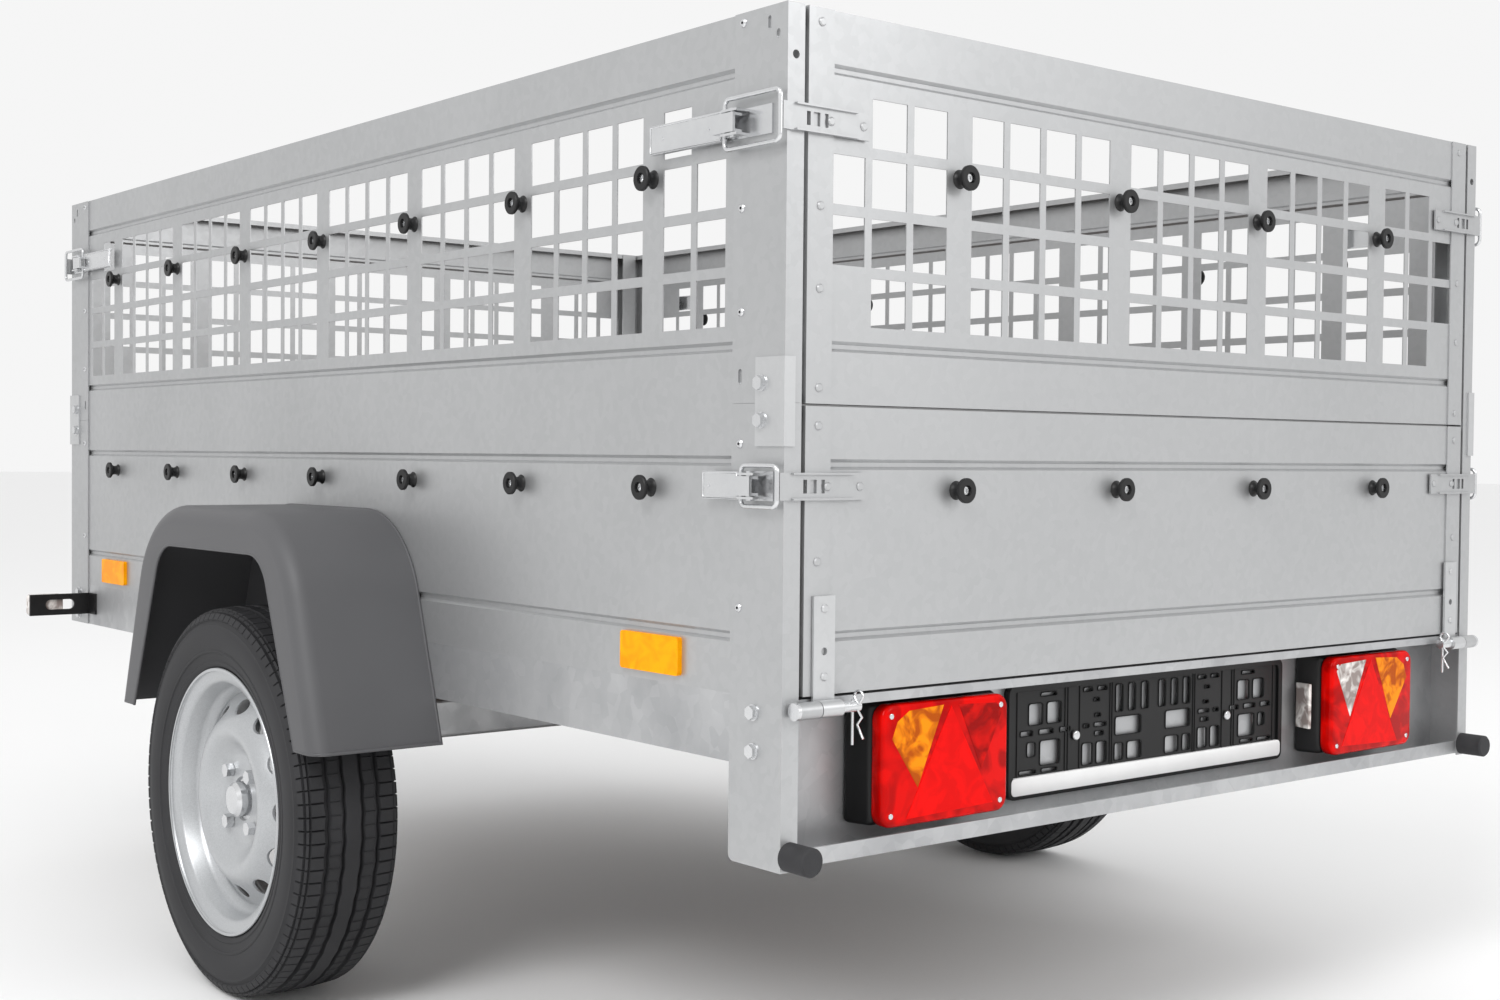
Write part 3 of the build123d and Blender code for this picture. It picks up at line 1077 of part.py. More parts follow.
# Toggle latches: (name, side, corner, way along the side, height, long pattern)
LATCHES = (
    ("rear_upper_left", -1, 0, 1, UPPER_LATCH_Z, True),
    ("rear_upper_right", 1, 0, 1, UPPER_LATCH_Z, True),
    ("front_upper_left", -1, BODY_LENGTH, -1, UPPER_LATCH_Z, True),
    ("front_upper_right", 1, BODY_LENGTH, -1, UPPER_LATCH_Z, True),
    ("rear_lower_left", -1, 0, 1, LOWER_LATCH_Z, False),
    ("rear_lower_right", 1, 0, 1, LOWER_LATCH_Z, False),
)
BASE_SHEET = 2.5
BASE_HALF = 15.0
EAR_OUT = 20.0
EAR_INNER = 11.0
EAR_OUTER = 13.5
EAR_REACH = 13.0
CHEEK_INNER = 7.0
CHEEK_OUTER = 10.0
PIN_BEYOND = 1.5
WIRE_BEYOND_PIN = 18.0
NECK_BACK = 7.0
NECK_PAST_WIRE = 9.0
CHEEK_FOOT = 5.5
CHEEK_TOP = 8.0
BRIDGE_FLOOR = 17.5
TAIL_FACE = (8.5, 10.5)
TAIL_RIM = 4.0
TAIL_SHEET = 2.0
HOOKED_STATION = -1.5
BAIL_CORNER = 7.0


class LatchSizes:
    """Places along the side from the corner: base plate, pivot pin, wire and handle end."""

    def __init__(self, long_pattern):
        self.base = (21.0, 91.0) if long_pattern else (14.0, 58.0)
        self.pin = 70.0 if long_pattern else 38.0
        self.wire = self.pin + WIRE_BEYOND_PIN
        self.tip = 220.0 if long_pattern else 121.0
        self.handle_half = 15.5 if long_pattern else 14.5
        self.bail_half = 26.0 if long_pattern else 21.0


def latch_span(side, corner, way, z, out, along, height, mode=Mode.ADD):
    """Box given outward from the post, along the side from the corner, and in height."""
    x_range = (side * (HALF + out[0]), side * (HALF + out[1]))
    y_range = (station(corner + way * along[0]), station(corner + way * along[1]))
    span(x_range, y_range, (z + height[0], z + height[1]), mode)


with BuildPart() as latch_bases:
    for name, side, corner, way, z, long_pattern in LATCHES:
        size = LatchSizes(long_pattern)
        latch_span(side, corner, way, z, (0, BASE_SHEET), size.base, (-BASE_HALF, BASE_HALF))
        ears = (size.pin - EAR_REACH, size.pin + EAR_REACH)
        latch_span(side, corner, way, z, (2, EAR_OUT), ears, (EAR_INNER, EAR_OUTER))
        latch_span(side, corner, way, z, (2, EAR_OUT), ears, (-EAR_OUTER, -EAR_INNER))
        pin_half = EAR_OUTER + PIN_BEYOND
        pin_foot = (side * (HALF + LATCH_PIN_OUT), station(corner + way * size.pin), z - pin_half)
        rod(pin_foot, (0, 0, 1), 2 * pin_half, LATCH_PIN_RADIUS)
finish(latch_bases, "latch_bases")

for name, side, corner, way, z, long_pattern in LATCHES:
    size = LatchSizes(long_pattern)
    with BuildPart() as handle:
        neck = (size.pin - NECK_BACK, size.wire + NECK_PAST_WIRE)
        wire_cheek = (size.pin + 4, size.wire + NECK_PAST_WIRE)
        for cheek in ((CHEEK_INNER, CHEEK_OUTER), (-CHEEK_OUTER, -CHEEK_INNER)):
            latch_span(side, corner, way, z, (CHEEK_TOP, EAR_OUT), neck, cheek)
            latch_span(side, corner, way, z, (CHEEK_FOOT, EAR_OUT), wire_cheek, cheek)
        latch_span(side, corner, way, z, (BRIDGE_FLOOR, EAR_OUT), neck, (-CHEEK_OUTER, CHEEK_OUTER))
        tail = (size.wire + 5, size.tip)
        half = size.handle_half
        rim_out = (TAIL_RIM, TAIL_FACE[1])
        latch_span(side, corner, way, z, TAIL_FACE, tail, (-half, half))
        latch_span(side, corner, way, z, rim_out, tail, (half - TAIL_SHEET, half))
        latch_span(side, corner, way, z, rim_out, tail, (-half, -half + TAIL_SHEET))
        pin_foot = (side * (HALF + LATCH_PIN_OUT), station(corner + way * size.pin), z - CHEEK_OUTER)
        rod(pin_foot, (0, 0, 1), 2 * CHEEK_OUTER, LATCH_PIN_RADIUS + RUNNING_GAP, Mode.SUBTRACT)
        wire_foot = (side * (HALF + BAIL_OUT), station(corner + way * size.wire), z - CHEEK_OUTER)
        rod(wire_foot, (0, 0, 1), 2 * CHEEK_OUTER, WIRE_RADIUS + RUNNING_GAP, Mode.SUBTRACT)
    finish(handle, f"latch_handle_{name}")

    with BuildPart() as bail:
        near = station(corner + way * size.wire)
        far = station(corner + way * HOOKED_STATION)
        reach = size.bail_half
        with BuildLine(Plane.YZ.offset(side * (HALF + BAIL_OUT))) as loop:
            corners = [(near, z + reach), (far, z + reach), (far, z - reach), (near, z - reach)]
            FilletPolyline(*corners, radius=BAIL_CORNER, close=True)
        with BuildSketch(Plane(origin=loop.line @ 0, z_dir=loop.line % 0)):
            Circle(WIRE_RADIUS)
        sweep(path=loop.line)
    finish(bail, f"latch_bail_{name}")
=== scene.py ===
"""Looks of a single-axle utility trailer with mesh side extensions, built around its CAD frame.

X runs to the trailer's right, Y forward to the coupling, Z up from the ground, in metres.
Sizes in the classes are in metres unless a name says mm.
"""

from __future__ import annotations

import json
import logging
import math
from collections.abc import Callable, Iterable
from dataclasses import dataclass, field, replace
from enum import Enum

import bpy
from mathutils import Matrix, Vector


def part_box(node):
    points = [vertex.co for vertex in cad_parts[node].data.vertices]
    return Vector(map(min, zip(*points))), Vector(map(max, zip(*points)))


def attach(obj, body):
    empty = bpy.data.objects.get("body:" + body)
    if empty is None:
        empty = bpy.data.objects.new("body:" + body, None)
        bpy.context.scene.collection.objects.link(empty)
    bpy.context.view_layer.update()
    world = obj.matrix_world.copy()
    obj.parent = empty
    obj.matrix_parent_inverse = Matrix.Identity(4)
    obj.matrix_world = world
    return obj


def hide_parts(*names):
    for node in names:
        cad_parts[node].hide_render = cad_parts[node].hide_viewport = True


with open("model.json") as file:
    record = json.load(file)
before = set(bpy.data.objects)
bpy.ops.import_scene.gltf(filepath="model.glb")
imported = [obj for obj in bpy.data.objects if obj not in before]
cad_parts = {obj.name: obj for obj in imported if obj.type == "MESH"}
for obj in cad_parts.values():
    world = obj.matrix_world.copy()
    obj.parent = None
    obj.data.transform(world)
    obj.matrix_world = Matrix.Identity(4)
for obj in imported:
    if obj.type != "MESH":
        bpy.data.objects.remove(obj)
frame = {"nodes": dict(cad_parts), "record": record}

LOG = logging.getLogger("trailer")
MM = 0.001
# The way the rear of the trailer faces
BACKWARD = (0.0, -1.0, 0.0)
# Share of a unit vector past which a face or an edge counts as lying along an axis
SQUARE = 0.95
Point = tuple[float, float, float]
Section = tuple[tuple[float, float], ...]
FaceTest = Callable[[Vector, Vector], bool]


class Side(Enum):
    """Left and right of the trailer, with the sign of X on that side."""

    LEFT = -1
    RIGHT = 1

    @property
    def word(self) -> str:
        """The side as it stands in a node's name."""
        return self.name.lower()


# Bench tools: starting a primitive, picking its faces, finishing it


def pick_only(piece: bpy.types.Object) -> None:
    """Selects one object and makes it active.

    Args:
        piece: the object.
    """
    bpy.ops.object.select_all(action="DESELECT")
    piece.select_set(True)
    bpy.context.view_layer.objects.active = piece


def settle(piece: bpy.types.Object, name: str) -> bpy.types.Object:
    """Puts an object's place, turn and size into its mesh.

    Args:
        piece: the object, as a primitive operator left it.
        name: its name from now on.

    Returns:
        The same object, at the origin.
    """
    pick_only(piece)
    piece.name = name
    bpy.ops.object.transform_apply(location=True, rotation=True, scale=True)
    return piece


def start_box(name: str, low: Point, high: Point) -> bpy.types.Object:
    """Adds a box between two corners.

    Args:
        name: name of the piece.
        low: one corner.
        high: the opposite corner.

    Returns:
        The new piece.
    """
    bpy.ops.object.select_all(action="DESELECT")
    corner_a, corner_b = Vector(low), Vector(high)
    size = corner_b - corner_a
    bpy.ops.mesh.primitive_cube_add(size=1.0, location=(corner_a + corner_b) / 2)
    bpy.context.object.scale = [abs(value) for value in size]
    return settle(bpy.context.object, name)


def start_rod(
    name: str, foot: Point, along: Point, radius: float, length: float, sides: int = 32
) -> bpy.types.Object:
    """Adds a round bar from a foot point along a direction.

    Args:
        name: name of the piece.
        foot: centre of its first end.
        along: direction of its axis.
        radius: its radius.
        length: its length.
        sides: number of its flat sides.

    Returns:
        The new piece.
    """
    bpy.ops.object.select_all(action="DESELECT")
    direction = Vector(along).normalized()
    turn = direction.to_track_quat("Z", "Y").to_euler()
    bpy.ops.mesh.primitive_cylinder_add(
        vertices=sides,
        radius=radius,
        depth=length,
        location=Vector(foot) + direction * length / 2,
        rotation=turn,
    )
    return settle(bpy.context.object, name)


def draw_line(name: str, points: Iterable[Point]) -> bpy.types.Object:
    """Draws a chain of edges through points, by extruding one vertex from each to the next.

    Args:
        name: name of the piece.
        points: the corners of the chain, in order.

    Returns:
        A piece in edit mode with its whole chain selected.
    """
    chain = [Vector(point) for point in points]
    bpy.ops.object.select_all(action="DESELECT")
    bpy.ops.mesh.primitive_plane_add(size=MM, location=chain[0])
    piece = settle(bpy.context.object, name)
    bpy.ops.object.mode_set(mode="EDIT")
    bpy.ops.mesh.select_mode(type="VERT")
    bpy.ops.mesh.select_all(action="SELECT")
    bpy.ops.mesh.merge(type="CENTER")
    for here, there in zip(chain, chain[1:]):
        bpy.ops.mesh.extrude_region_move(TRANSFORM_OT_translate={"value": there - here})
    bpy.ops.mesh.select_all(action="SELECT")
    return piece


def draw_plate(name: str, points: Iterable[Point], thickness: Point) -> bpy.types.Object:
    """Makes a plate from its outline.

    Args:
        name: name of the piece.
        points: the corners of the outline, in order and not closed.
        thickness: vector from one face to the other.

    Returns:
        The new piece.
    """
    piece = draw_line(name, points)
    bpy.ops.mesh.edge_face_add()
    bpy.ops.mesh.extrude_region_move(TRANSFORM_OT_translate={"value": thickness})
    bpy.ops.mesh.select_all(action="SELECT")
    bpy.ops.mesh.normals_make_consistent(inside=False)
    bpy.ops.object.mode_set(mode="OBJECT")
    return piece


def spin_round(piece: bpy.types.Object, centre: Point, axis: Point, steps: int) -> bpy.types.Object:
    """Spins the drawn chain once round an axis and closes it.

    Args:
        piece: a piece in edit mode with its chain selected.
        centre: a point on the axis.
        axis: direction of the axis.
        steps: number of segments round.

    Returns:
        The same piece, in object mode.
    """
    bpy.ops.mesh.spin(steps=steps, angle=math.tau, center=centre, axis=axis)
    bpy.ops.mesh.select_all(action="SELECT")
    bpy.ops.mesh.remove_doubles(threshold=MM / 20)
    bpy.ops.mesh.normals_make_consistent(inside=False)
    bpy.ops.object.mode_set(mode="OBJECT")
    return piece


def pick_faces(piece: bpy.types.Object, test: FaceTest) -> int:
    """Enters edit mode with only some faces selected.

    Args:
        piece: the piece to edit.
        test: says from a face's centre and normal whether it is picked.

    Returns:
        The number of faces picked.
    """
    pick_only(piece)
    bpy.ops.object.mode_set(mode="EDIT")
    bpy.ops.mesh.select_mode(type="FACE")
    bpy.ops.mesh.select_all(action="DESELECT")
    bpy.ops.object.mode_set(mode="OBJECT")
    count = 0
    for face in piece.data.polygons:
        face.select = test(face.center, face.normal)
        count += face.select
    bpy.ops.object.mode_set(mode="EDIT")
    return count


def pick_edges(piece: bpy.types.Object, test: FaceTest) -> int:
    """Enters edit mode with only some edges selected.

    Args:
        piece: the piece to edit.
        test: says from an edge's middle and unit direction whether it is picked.

    Returns:
        The number of edges picked.
    """
    pick_only(piece)
    bpy.ops.object.mode_set(mode="EDIT")
    bpy.ops.mesh.select_mode(type="EDGE")
    bpy.ops.mesh.select_all(action="DESELECT")
    bpy.ops.object.mode_set(mode="OBJECT")
    corners = piece.data.vertices
    count = 0
    for edge in piece.data.edges:
        start, end = (corners[index].co for index in edge.vertices)
        edge.select = test((start + end) / 2, (end - start).normalized())
        count += edge.select
    bpy.ops.object.mode_set(mode="EDIT")
    return count


def leave_edit() -> None:
    """Goes back to object mode."""
    bpy.ops.object.mode_set(mode="OBJECT")


def finish_with(piece: bpy.types.Object, kind: str, **settings: object) -> bpy.types.Object:
    """Adds a modifier and applies it.

    Args:
        piece: the piece to finish.
        kind: type of the modifier.
        **settings: its properties.

    Returns:
        The same piece.
    """
    pick_only(piece)
    modifier = piece.modifiers.new(kind.title(), kind)
    for key, value in settings.items():
        setattr(modifier, key, value)
    bpy.ops.object.modifier_apply(modifier=modifier.name)
    return piece


def round_edges(piece: bpy.types.Object, radius: float, segments: int = 2) -> bpy.types.Object:
    """Rounds the sharp edges of a piece, and shades its round faces smoothly.

    Args:
        piece: the piece to finish.
        radius: width of the rounding.
        segments: number of facets across it.

    Returns:
        The same piece.
    """
    finish_with(piece, "BEVEL", width=radius, segments=segments, limit_method="ANGLE")
    return shade(piece)


def round_upright(block: bpy.types.Object, radius: float) -> None:
    """Rounds the four edges of a block that run along Y.

    Args:
        block: the block.
        radius: radius of the corners.
    """
    pick_edges(block, lambda _, way: abs(way.y) > 0.99)
    bpy.ops.mesh.bevel(offset=radius, segments=5, affect="EDGES")
    leave_edit()


def shade(piece: bpy.types.Object, degrees: float = 35.0) -> bpy.types.Object:
    """Shades a piece smoothly, except across sharp edges.

    Args:
        piece: the piece.
        degrees: angle past which an edge is sharp.

    Returns:
        The same piece.
    """
    pick_only(piece)
    bpy.ops.object.shade_smooth_by_angle(angle=math.radians(degrees))
    return piece


def copy_at(piece: bpy.types.Object, place: Matrix, name: str) -> bpy.types.Object:
    """Copies a piece with a mesh of its own, moved by a matrix.

    Args:
        piece: the model piece.
        place: matrix that its mesh goes through.
        name: name of the copy.

    Returns:
        The copy.
    """
    twin = piece.copy()
    twin.data = piece.data.copy()
    twin.name = name
    twin.data.transform(place)
    bpy.context.scene.collection.objects.link(twin)
    return twin


def join(parts: list[bpy.types.Object], name: str) -> bpy.types.Object:
    """Joins parts into one piece.

    Args:
        parts: the parts, which become one object.
        name: its name.

    Returns:
        The joined piece.
    """
    bpy.ops.object.select_all(action="DESELECT")
    for part in parts:
        part.select_set(True)
    bpy.context.view_layer.objects.active = parts[0]
    bpy.ops.object.join()
    parts[0].name = name
    return parts[0]


# Finishes


def linear(colour: str) -> tuple[float, float, float, float]:
    """Turns an sRGB hex colour into linear values.

    Args:
        colour: the colour, as #RRGGBB.

    Returns:
        Linear red, green and blue, with alpha 1.
    """
    channels = [int(colour[start : start + 2], 16) / 255 for start in (1, 3, 5)]
    values = [c / 12.92 if c <= 0.04045 else ((c + 0.055) / 1.055) ** 2.4 for c in channels]
    return values[0], values[1], values[2], 1.0


def repeats(size_mm: float) -> float:
    """Pattern scale at which one cell of a texture measures a size in millimetres."""
    return 1 / (size_mm * MM)


def add_node(
    tree: bpy.types.NodeTree, kind: str, inputs: dict[str | int, object] | None = None, **settings: object
) -> bpy.types.Node:
    """Adds a node with its settings and links.

    Args:
        tree: the material's node tree.
        kind: type of the node.
        inputs: value or linked socket for each input, by its name or number.
        **settings: the node's own properties.

    Returns:
        The new node.
    """
    node = tree.nodes.new(kind)
    for key, value in settings.items():
        setattr(node, key, value)
    for key, value in (inputs or {}).items():
        if isinstance(value, bpy.types.NodeSocket):
            tree.links.new(value, node.inputs[key])
        else:
            node.inputs[key].default_value = value
    return node


@dataclass(frozen=True)
class Finish:
    """What every finish has: a name and the gloss of its surface."""

    name: str
    roughness: float
    metallic: float = 0.0

    def blank(self) -> tuple[bpy.types.Material, bpy.types.NodeTree, bpy.types.Node, bpy.types.NodeSocket]:
        """Starts the material.

        Returns:
            The material, its tree, its shader and the object coordinates.
        """
        material = bpy.data.materials.new(self.name)
        material.use_nodes = True
        tree = material.node_tree
        shader = tree.nodes["Principled BSDF"]
        shader.inputs["Metallic"].default_value = self.metallic
        shader.inputs["Roughness"].default_value = self.roughness
        place = add_node(tree, "ShaderNodeTexCoord").outputs["Object"]
        return material, tree, shader, place

    def make(self) -> bpy.types.Material:
        """Builds the material. Each finish has its own way."""
        raise NotImplementedError


@dataclass(frozen=True)
class GalvanisedSteel(Finish):
    """Zinc-coated sheet steel: satin grey, with the faint crystals that cooling zinc leaves."""

    light: str = "#B7B8B9"
    dark: str = "#AEAFB0"
    spangle_mm: float = 9.0
    cloud_mm: float = 260.0
    crystal_share: float = 0.4
    roughness_spread: float = 0.04
    grain_mm: float = 1.2
    grain_depth_mm: float = 0.03

    def make(self) -> bpy.types.Material:
        """Builds crystals over slow clouds in colour and gloss, with a fine rolled grain.

        Returns:
            The material.
        """
        material, tree, shader, place = self.blank()
        crystals = add_node(
            tree, "ShaderNodeTexVoronoi", {"Vector": place, "Scale": repeats(self.spangle_mm)}
        )
        crystal = add_node(
            tree, "ShaderNodeSeparateColor", {"Color": crystals.outputs["Color"]}
        ).outputs["Red"]
        clouds = add_node(
            tree, "ShaderNodeTexNoise", {"Vector": place, "Scale": repeats(self.cloud_mm), "Detail": 5.0}
        ).outputs["Fac"]
        cloud = add_node(tree, "ShaderNodeMapRange", {"Value": clouds, "From Min": 0.3, "From Max": 0.7})
        mixed = add_node(
            tree, "ShaderNodeMix", {0: self.crystal_share, 2: cloud.outputs[0], 3: crystal}
        ).outputs[0]
        colour = add_node(
            tree, "ShaderNodeMix", {0: mixed, 6: linear(self.dark), 7: linear(self.light)}, data_type="RGBA"
        ).outputs[2]
        gloss = add_node(
            tree,
            "ShaderNodeMapRange",
            {
                "Value": mixed,
                "To Min": self.roughness + self.roughness_spread,
                "To Max": self.roughness - self.roughness_spread,
            },
        ).outputs[0]
        grain = add_node(tree, "ShaderNodeTexNoise", {"Vector": place, "Scale": repeats(self.grain_mm)})
        depth = self.grain_depth_mm * MM
        bump = add_node(
            tree, "ShaderNodeBump", {"Strength": 0.5, "Distance": depth, "Height": grain.outputs[0]}
        )
        tree.links.new(colour, shader.inputs["Base Color"])
        tree.links.new(gloss, shader.inputs["Roughness"])
        tree.links.new(bump.outputs[0], shader.inputs["Normal"])
        return material


@dataclass(frozen=True)
class MouldedSurface(Finish):
    """Moulded plastic or rubber: an even colour, a fine grain from the mould, and worn lighter patches."""

    colour: str = "#202022"
    worn: str = "#2C2C2E"
    grain_mm: float = 0.9
    grain_depth_mm: float = 0.06
    patch_mm: float = 120.0
    worn_roughness: float = 0.12
    specular: float = 0.35

    def make(self) -> bpy.types.Material:
        """Builds patches of wear in colour and gloss over a leathery grain.

        Returns:
            The material.
        """
        material, tree, shader, place = self.blank()
        shader.inputs["Specular IOR Level"].default_value = self.specular
        patches = add_node(
            tree, "ShaderNodeTexNoise", {"Vector": place, "Scale": repeats(self.patch_mm), "Detail": 6.0}
        ).outputs["Fac"]
        patch = add_node(
            tree, "ShaderNodeMapRange", {"Value": patches, "From Min": 0.35, "From Max": 0.7}
        ).outputs[0]
        colour = add_node(
            tree,
            "ShaderNodeMix",
            {0: patch, 6: linear(self.colour), 7: linear(self.worn)},
            data_type="RGBA",
        ).outputs[2]
        gloss = add_node(
            tree,
            "ShaderNodeMapRange",
            {"Value": patch, "To Min": self.roughness, "To Max": self.roughness + self.worn_roughness},
        ).outputs[0]
        grain = add_node(
            tree, "ShaderNodeTexNoise", {"Vector": place, "Scale": repeats(self.grain_mm), "Detail": 2.0}
        )
        depth = self.grain_depth_mm * MM
        bump = add_node(
            tree, "ShaderNodeBump", {"Strength": 0.6, "Distance": depth, "Height": grain.outputs[0]}
        )
        tree.links.new(colour, shader.inputs["Base Color"])
        tree.links.new(gloss, shader.inputs["Roughness"])
        tree.links.new(bump.outputs[0], shader.inputs["Normal"])
        return material


@dataclass(frozen=True)
class Enamel(Finish):
    """Sprayed silver wheel paint: metal flakes under a satin film, with slight orange peel."""

    colour: str = "#A9ABAD"
    flake: str = "#B9BBBD"
    flake_mm: float = 0.8
    peel_mm: float = 5.0
    peel_depth_mm: float = 0.05
    coat: float = 0.25
    coat_roughness: float = 0.2

    def make(self) -> bpy.types.Material:
        """Builds flakes in the colour and a shallow peel in the film.

        Returns:
            The material.
        """
        material, tree, shader, place = self.blank()
        flakes = add_node(tree, "ShaderNodeTexVoronoi", {"Vector": place, "Scale": repeats(self.flake_mm)})
        share = add_node(tree, "ShaderNodeSeparateColor", {"Color": flakes.outputs["Color"]}).outputs["Red"]
        colour = add_node(
            tree, "ShaderNodeMix", {0: share, 6: linear(self.colour), 7: linear(self.flake)}, data_type="RGBA"
        ).outputs[2]
        peel = add_node(tree, "ShaderNodeTexNoise", {"Vector": place, "Scale": repeats(self.peel_mm)})
        depth = self.peel_depth_mm * MM
        bump = add_node(
            tree, "ShaderNodeBump", {"Strength": 0.3, "Distance": depth, "Height": peel.outputs[0]}
        )
        shader.inputs["Coat Weight"].default_value = self.coat
        shader.inputs["Coat Roughness"].default_value = self.coat_roughness
        tree.links.new(colour, shader.inputs["Base Color"])
        tree.links.new(bump.outputs[0], shader.inputs["Normal"])
        return material


@dataclass(frozen=True)
class LensPlastic(Finish):
    """Clear moulded acrylic over a reflector: deep colour with a painted reflection of the reflector, a hard
    gloss and rows of small prisms.
    """

    # The lens's own deep colour, and the lighter colour where the painted reflection of the reflector lifts
    # it
    deep: str = "#9E0302"
    bright: str = "#D40703"
    prism_mm: float = 4.0
    prism_depth_mm: float = 0.5
    # Size of the clouds of painted reflection
    cloud_mm: float = 45.0
    specular: float = 0.08

    def make(self) -> bpy.types.Material:
        """Builds square prisms in the bump, and behind them the reflector's light and dark as painted
        reflection, in clouds between the deep and the bright colour.

        Returns:
            The material.
        """
        material, tree, shader, place = self.blank()
        prisms = add_node(
            tree,
            "ShaderNodeTexVoronoi",
            {"Vector": place, "Scale": repeats(self.prism_mm), "Randomness": 0.0},
        ).outputs["Distance"]
        # Painted reflection: slow clouds of lighter and darker colour stand in for the reflector's
        # reflections behind the lens
        clouds = add_node(
            tree, "ShaderNodeTexNoise", {"Vector": place, "Scale": repeats(self.cloud_mm), "Distortion": 1.2}
        ).outputs["Fac"]
        cloud = add_node(
            tree, "ShaderNodeMapRange", {"Value": clouds, "From Min": 0.4, "From Max": 0.62}
        ).outputs[0]
        colour = add_node(
            tree, "ShaderNodeMix", {0: cloud, 6: linear(self.deep), 7: linear(self.bright)}, data_type="RGBA"
        ).outputs[2]
        bump = add_node(
            tree, "ShaderNodeBump", {"Strength": 0.35, "Distance": self.prism_depth_mm * MM, "Height": prisms}
        )
        shader.inputs["Specular IOR Level"].default_value = self.specular
        tree.links.new(colour, shader.inputs["Base Color"])
        tree.links.new(bump.outputs[0], shader.inputs["Normal"])
        return material


@dataclass(frozen=True)
class FilmedPlywood(Finish):
    """Birch plywood pressed with a brown phenolic film, printed with a wire mesh against slipping."""

    colour: str = "#4A3426"
    light: str = "#5E4633"
    wire_mm: float = 6.0
    wire_depth_mm: float = 0.3
    film_scale: float = 9.0

    def make(self) -> bpy.types.Material:
        """Builds the pressed mesh in the bump and the film's uneven brown.

        Returns:
            The material.
        """
        material, tree, shader, place = self.blank()
        mesh = add_node(
            tree, "ShaderNodeTexVoronoi", {"Vector": place, "Scale": repeats(self.wire_mm), "Randomness": 0.0}
        ).outputs["Distance"]
        film = add_node(
            tree, "ShaderNodeTexNoise", {"Vector": place, "Scale": self.film_scale, "Detail": 6.0}
        ).outputs["Fac"]
        colour = add_node(
            tree, "ShaderNodeMix", {0: film, 6: linear(self.colour), 7: linear(self.light)}, data_type="RGBA"
        ).outputs[2]
        bump = add_node(
            tree, "ShaderNodeBump", {"Strength": 0.6, "Distance": self.wire_depth_mm * MM, "Height": mesh}
        )
        tree.links.new(colour, shader.inputs["Base Color"])
        tree.links.new(bump.outputs[0], shader.inputs["Normal"])
        return material


SHEET = GalvanisedSteel("galvanised_sheet_steel", 0.42, 0.75)
# Dipped after welding: bigger crystals, darker and more mottled than rolled sheet
FRAME_STEEL = GalvanisedSteel(
    "hot_dipped_frame_steel", 0.46, 0.75, "#BEBFC0", "#A3A4A6", 16.0, 90.0, 0.3, 0.08, 2.5, 0.05
)
# Bright zinc plate on pressed fittings: smoother and lighter than the sheet
ZINC = GalvanisedSteel(
    "bright_zinc_plate", 0.25, 0.9, "#D6D7D8", "#CDCED0", 4.0, 40.0, 0.25, 0.03, 0.8, 0.005
)
# Pressed straps and brackets stand out a little from the sheet they lie on: partly their own brighter zinc
# plate, partly a painted highlight, a lighter tone in place of the light along their edges
HIGHLIGHTED_STRAP_STEEL = GalvanisedSteel(
    "zinc_plated_strap_steel", 0.34, 0.8, "#C8C9CA", "#BFC0C1", 6.0, 60.0, 0.3, 0.03
)
# The broken stub of the steel mandrel, left bare inside a blind rivet's head; its dark colour is painted
# shade of the hole it sits in
MANDREL_AND_HOLE_SHADE = GalvanisedSteel("bare_mandrel_steel", 0.5, 0.8, "#5A5A5C", "#48484A", 2.0, 20.0, 0.3, 0.05)
BLACK_PLASTIC = MouldedSurface("moulded_polyamide", 0.38, 0.0, "#0F0F10", "#161617")
GUARD_PLASTIC = MouldedSurface("moulded_polyethylene", 0.4, 0.0, "#4E4E50", "#565658", 1.1, 0.03, 400.0)
TYRE_RUBBER = MouldedSurface("vulcanised_tyre_rubber", 0.62, 0.0, "#262628", "#303032", 0.8, 0.05, 70.0)
BUFFER_RUBBER = MouldedSurface("solid_buffer_rubber", 0.7, 0.0, "#2A2A2C", "#38383A", 1.0, 0.06, 25.0)
WHEEL_PAINT = Enamel("silver_wheel_enamel", 0.36, 0.55)
# Each lens: its own colour, then the lighter colour of the painted reflection behind it
RED_LENS = LensPlastic("red_acrylic_lens", 0.14)
RED_FIELD = LensPlastic("red_reflector_prisms", 0.22, 0.0, "#D00402", "#E00502", 2.2, 0.35, 25.0)
DEEP_RED_LENS = LensPlastic("deep_red_acrylic_lens", 0.14, 0.0, "#8A0402", "#C40A03", 5.0, 0.5, 26.0)
AMBER_LENS = LensPlastic("amber_acrylic_lens", 0.14, 0.0, "#A94A04", "#F08A08", 5.0, 0.5, 26.0)
AMBER_PRISMS = LensPlastic("amber_reflector_prisms", 0.25, 0.0, "#EE9200", "#F8A400", 2.5, 0.4, 30.0)
CLEAR_LENS = LensPlastic("clear_acrylic_lens", 0.12, 0.0, "#8F8480", "#E6E2DE", 5.0, 0.5, 24.0)
WHITE_STRIP = MouldedSurface("white_polystyrene_strip", 0.35, 0.0, "#E8E8E8", "#EFEFEF", 0.9, 0.01, 60.0)
PLYWOOD = FilmedPlywood("filmed_birch_plywood", 0.5)


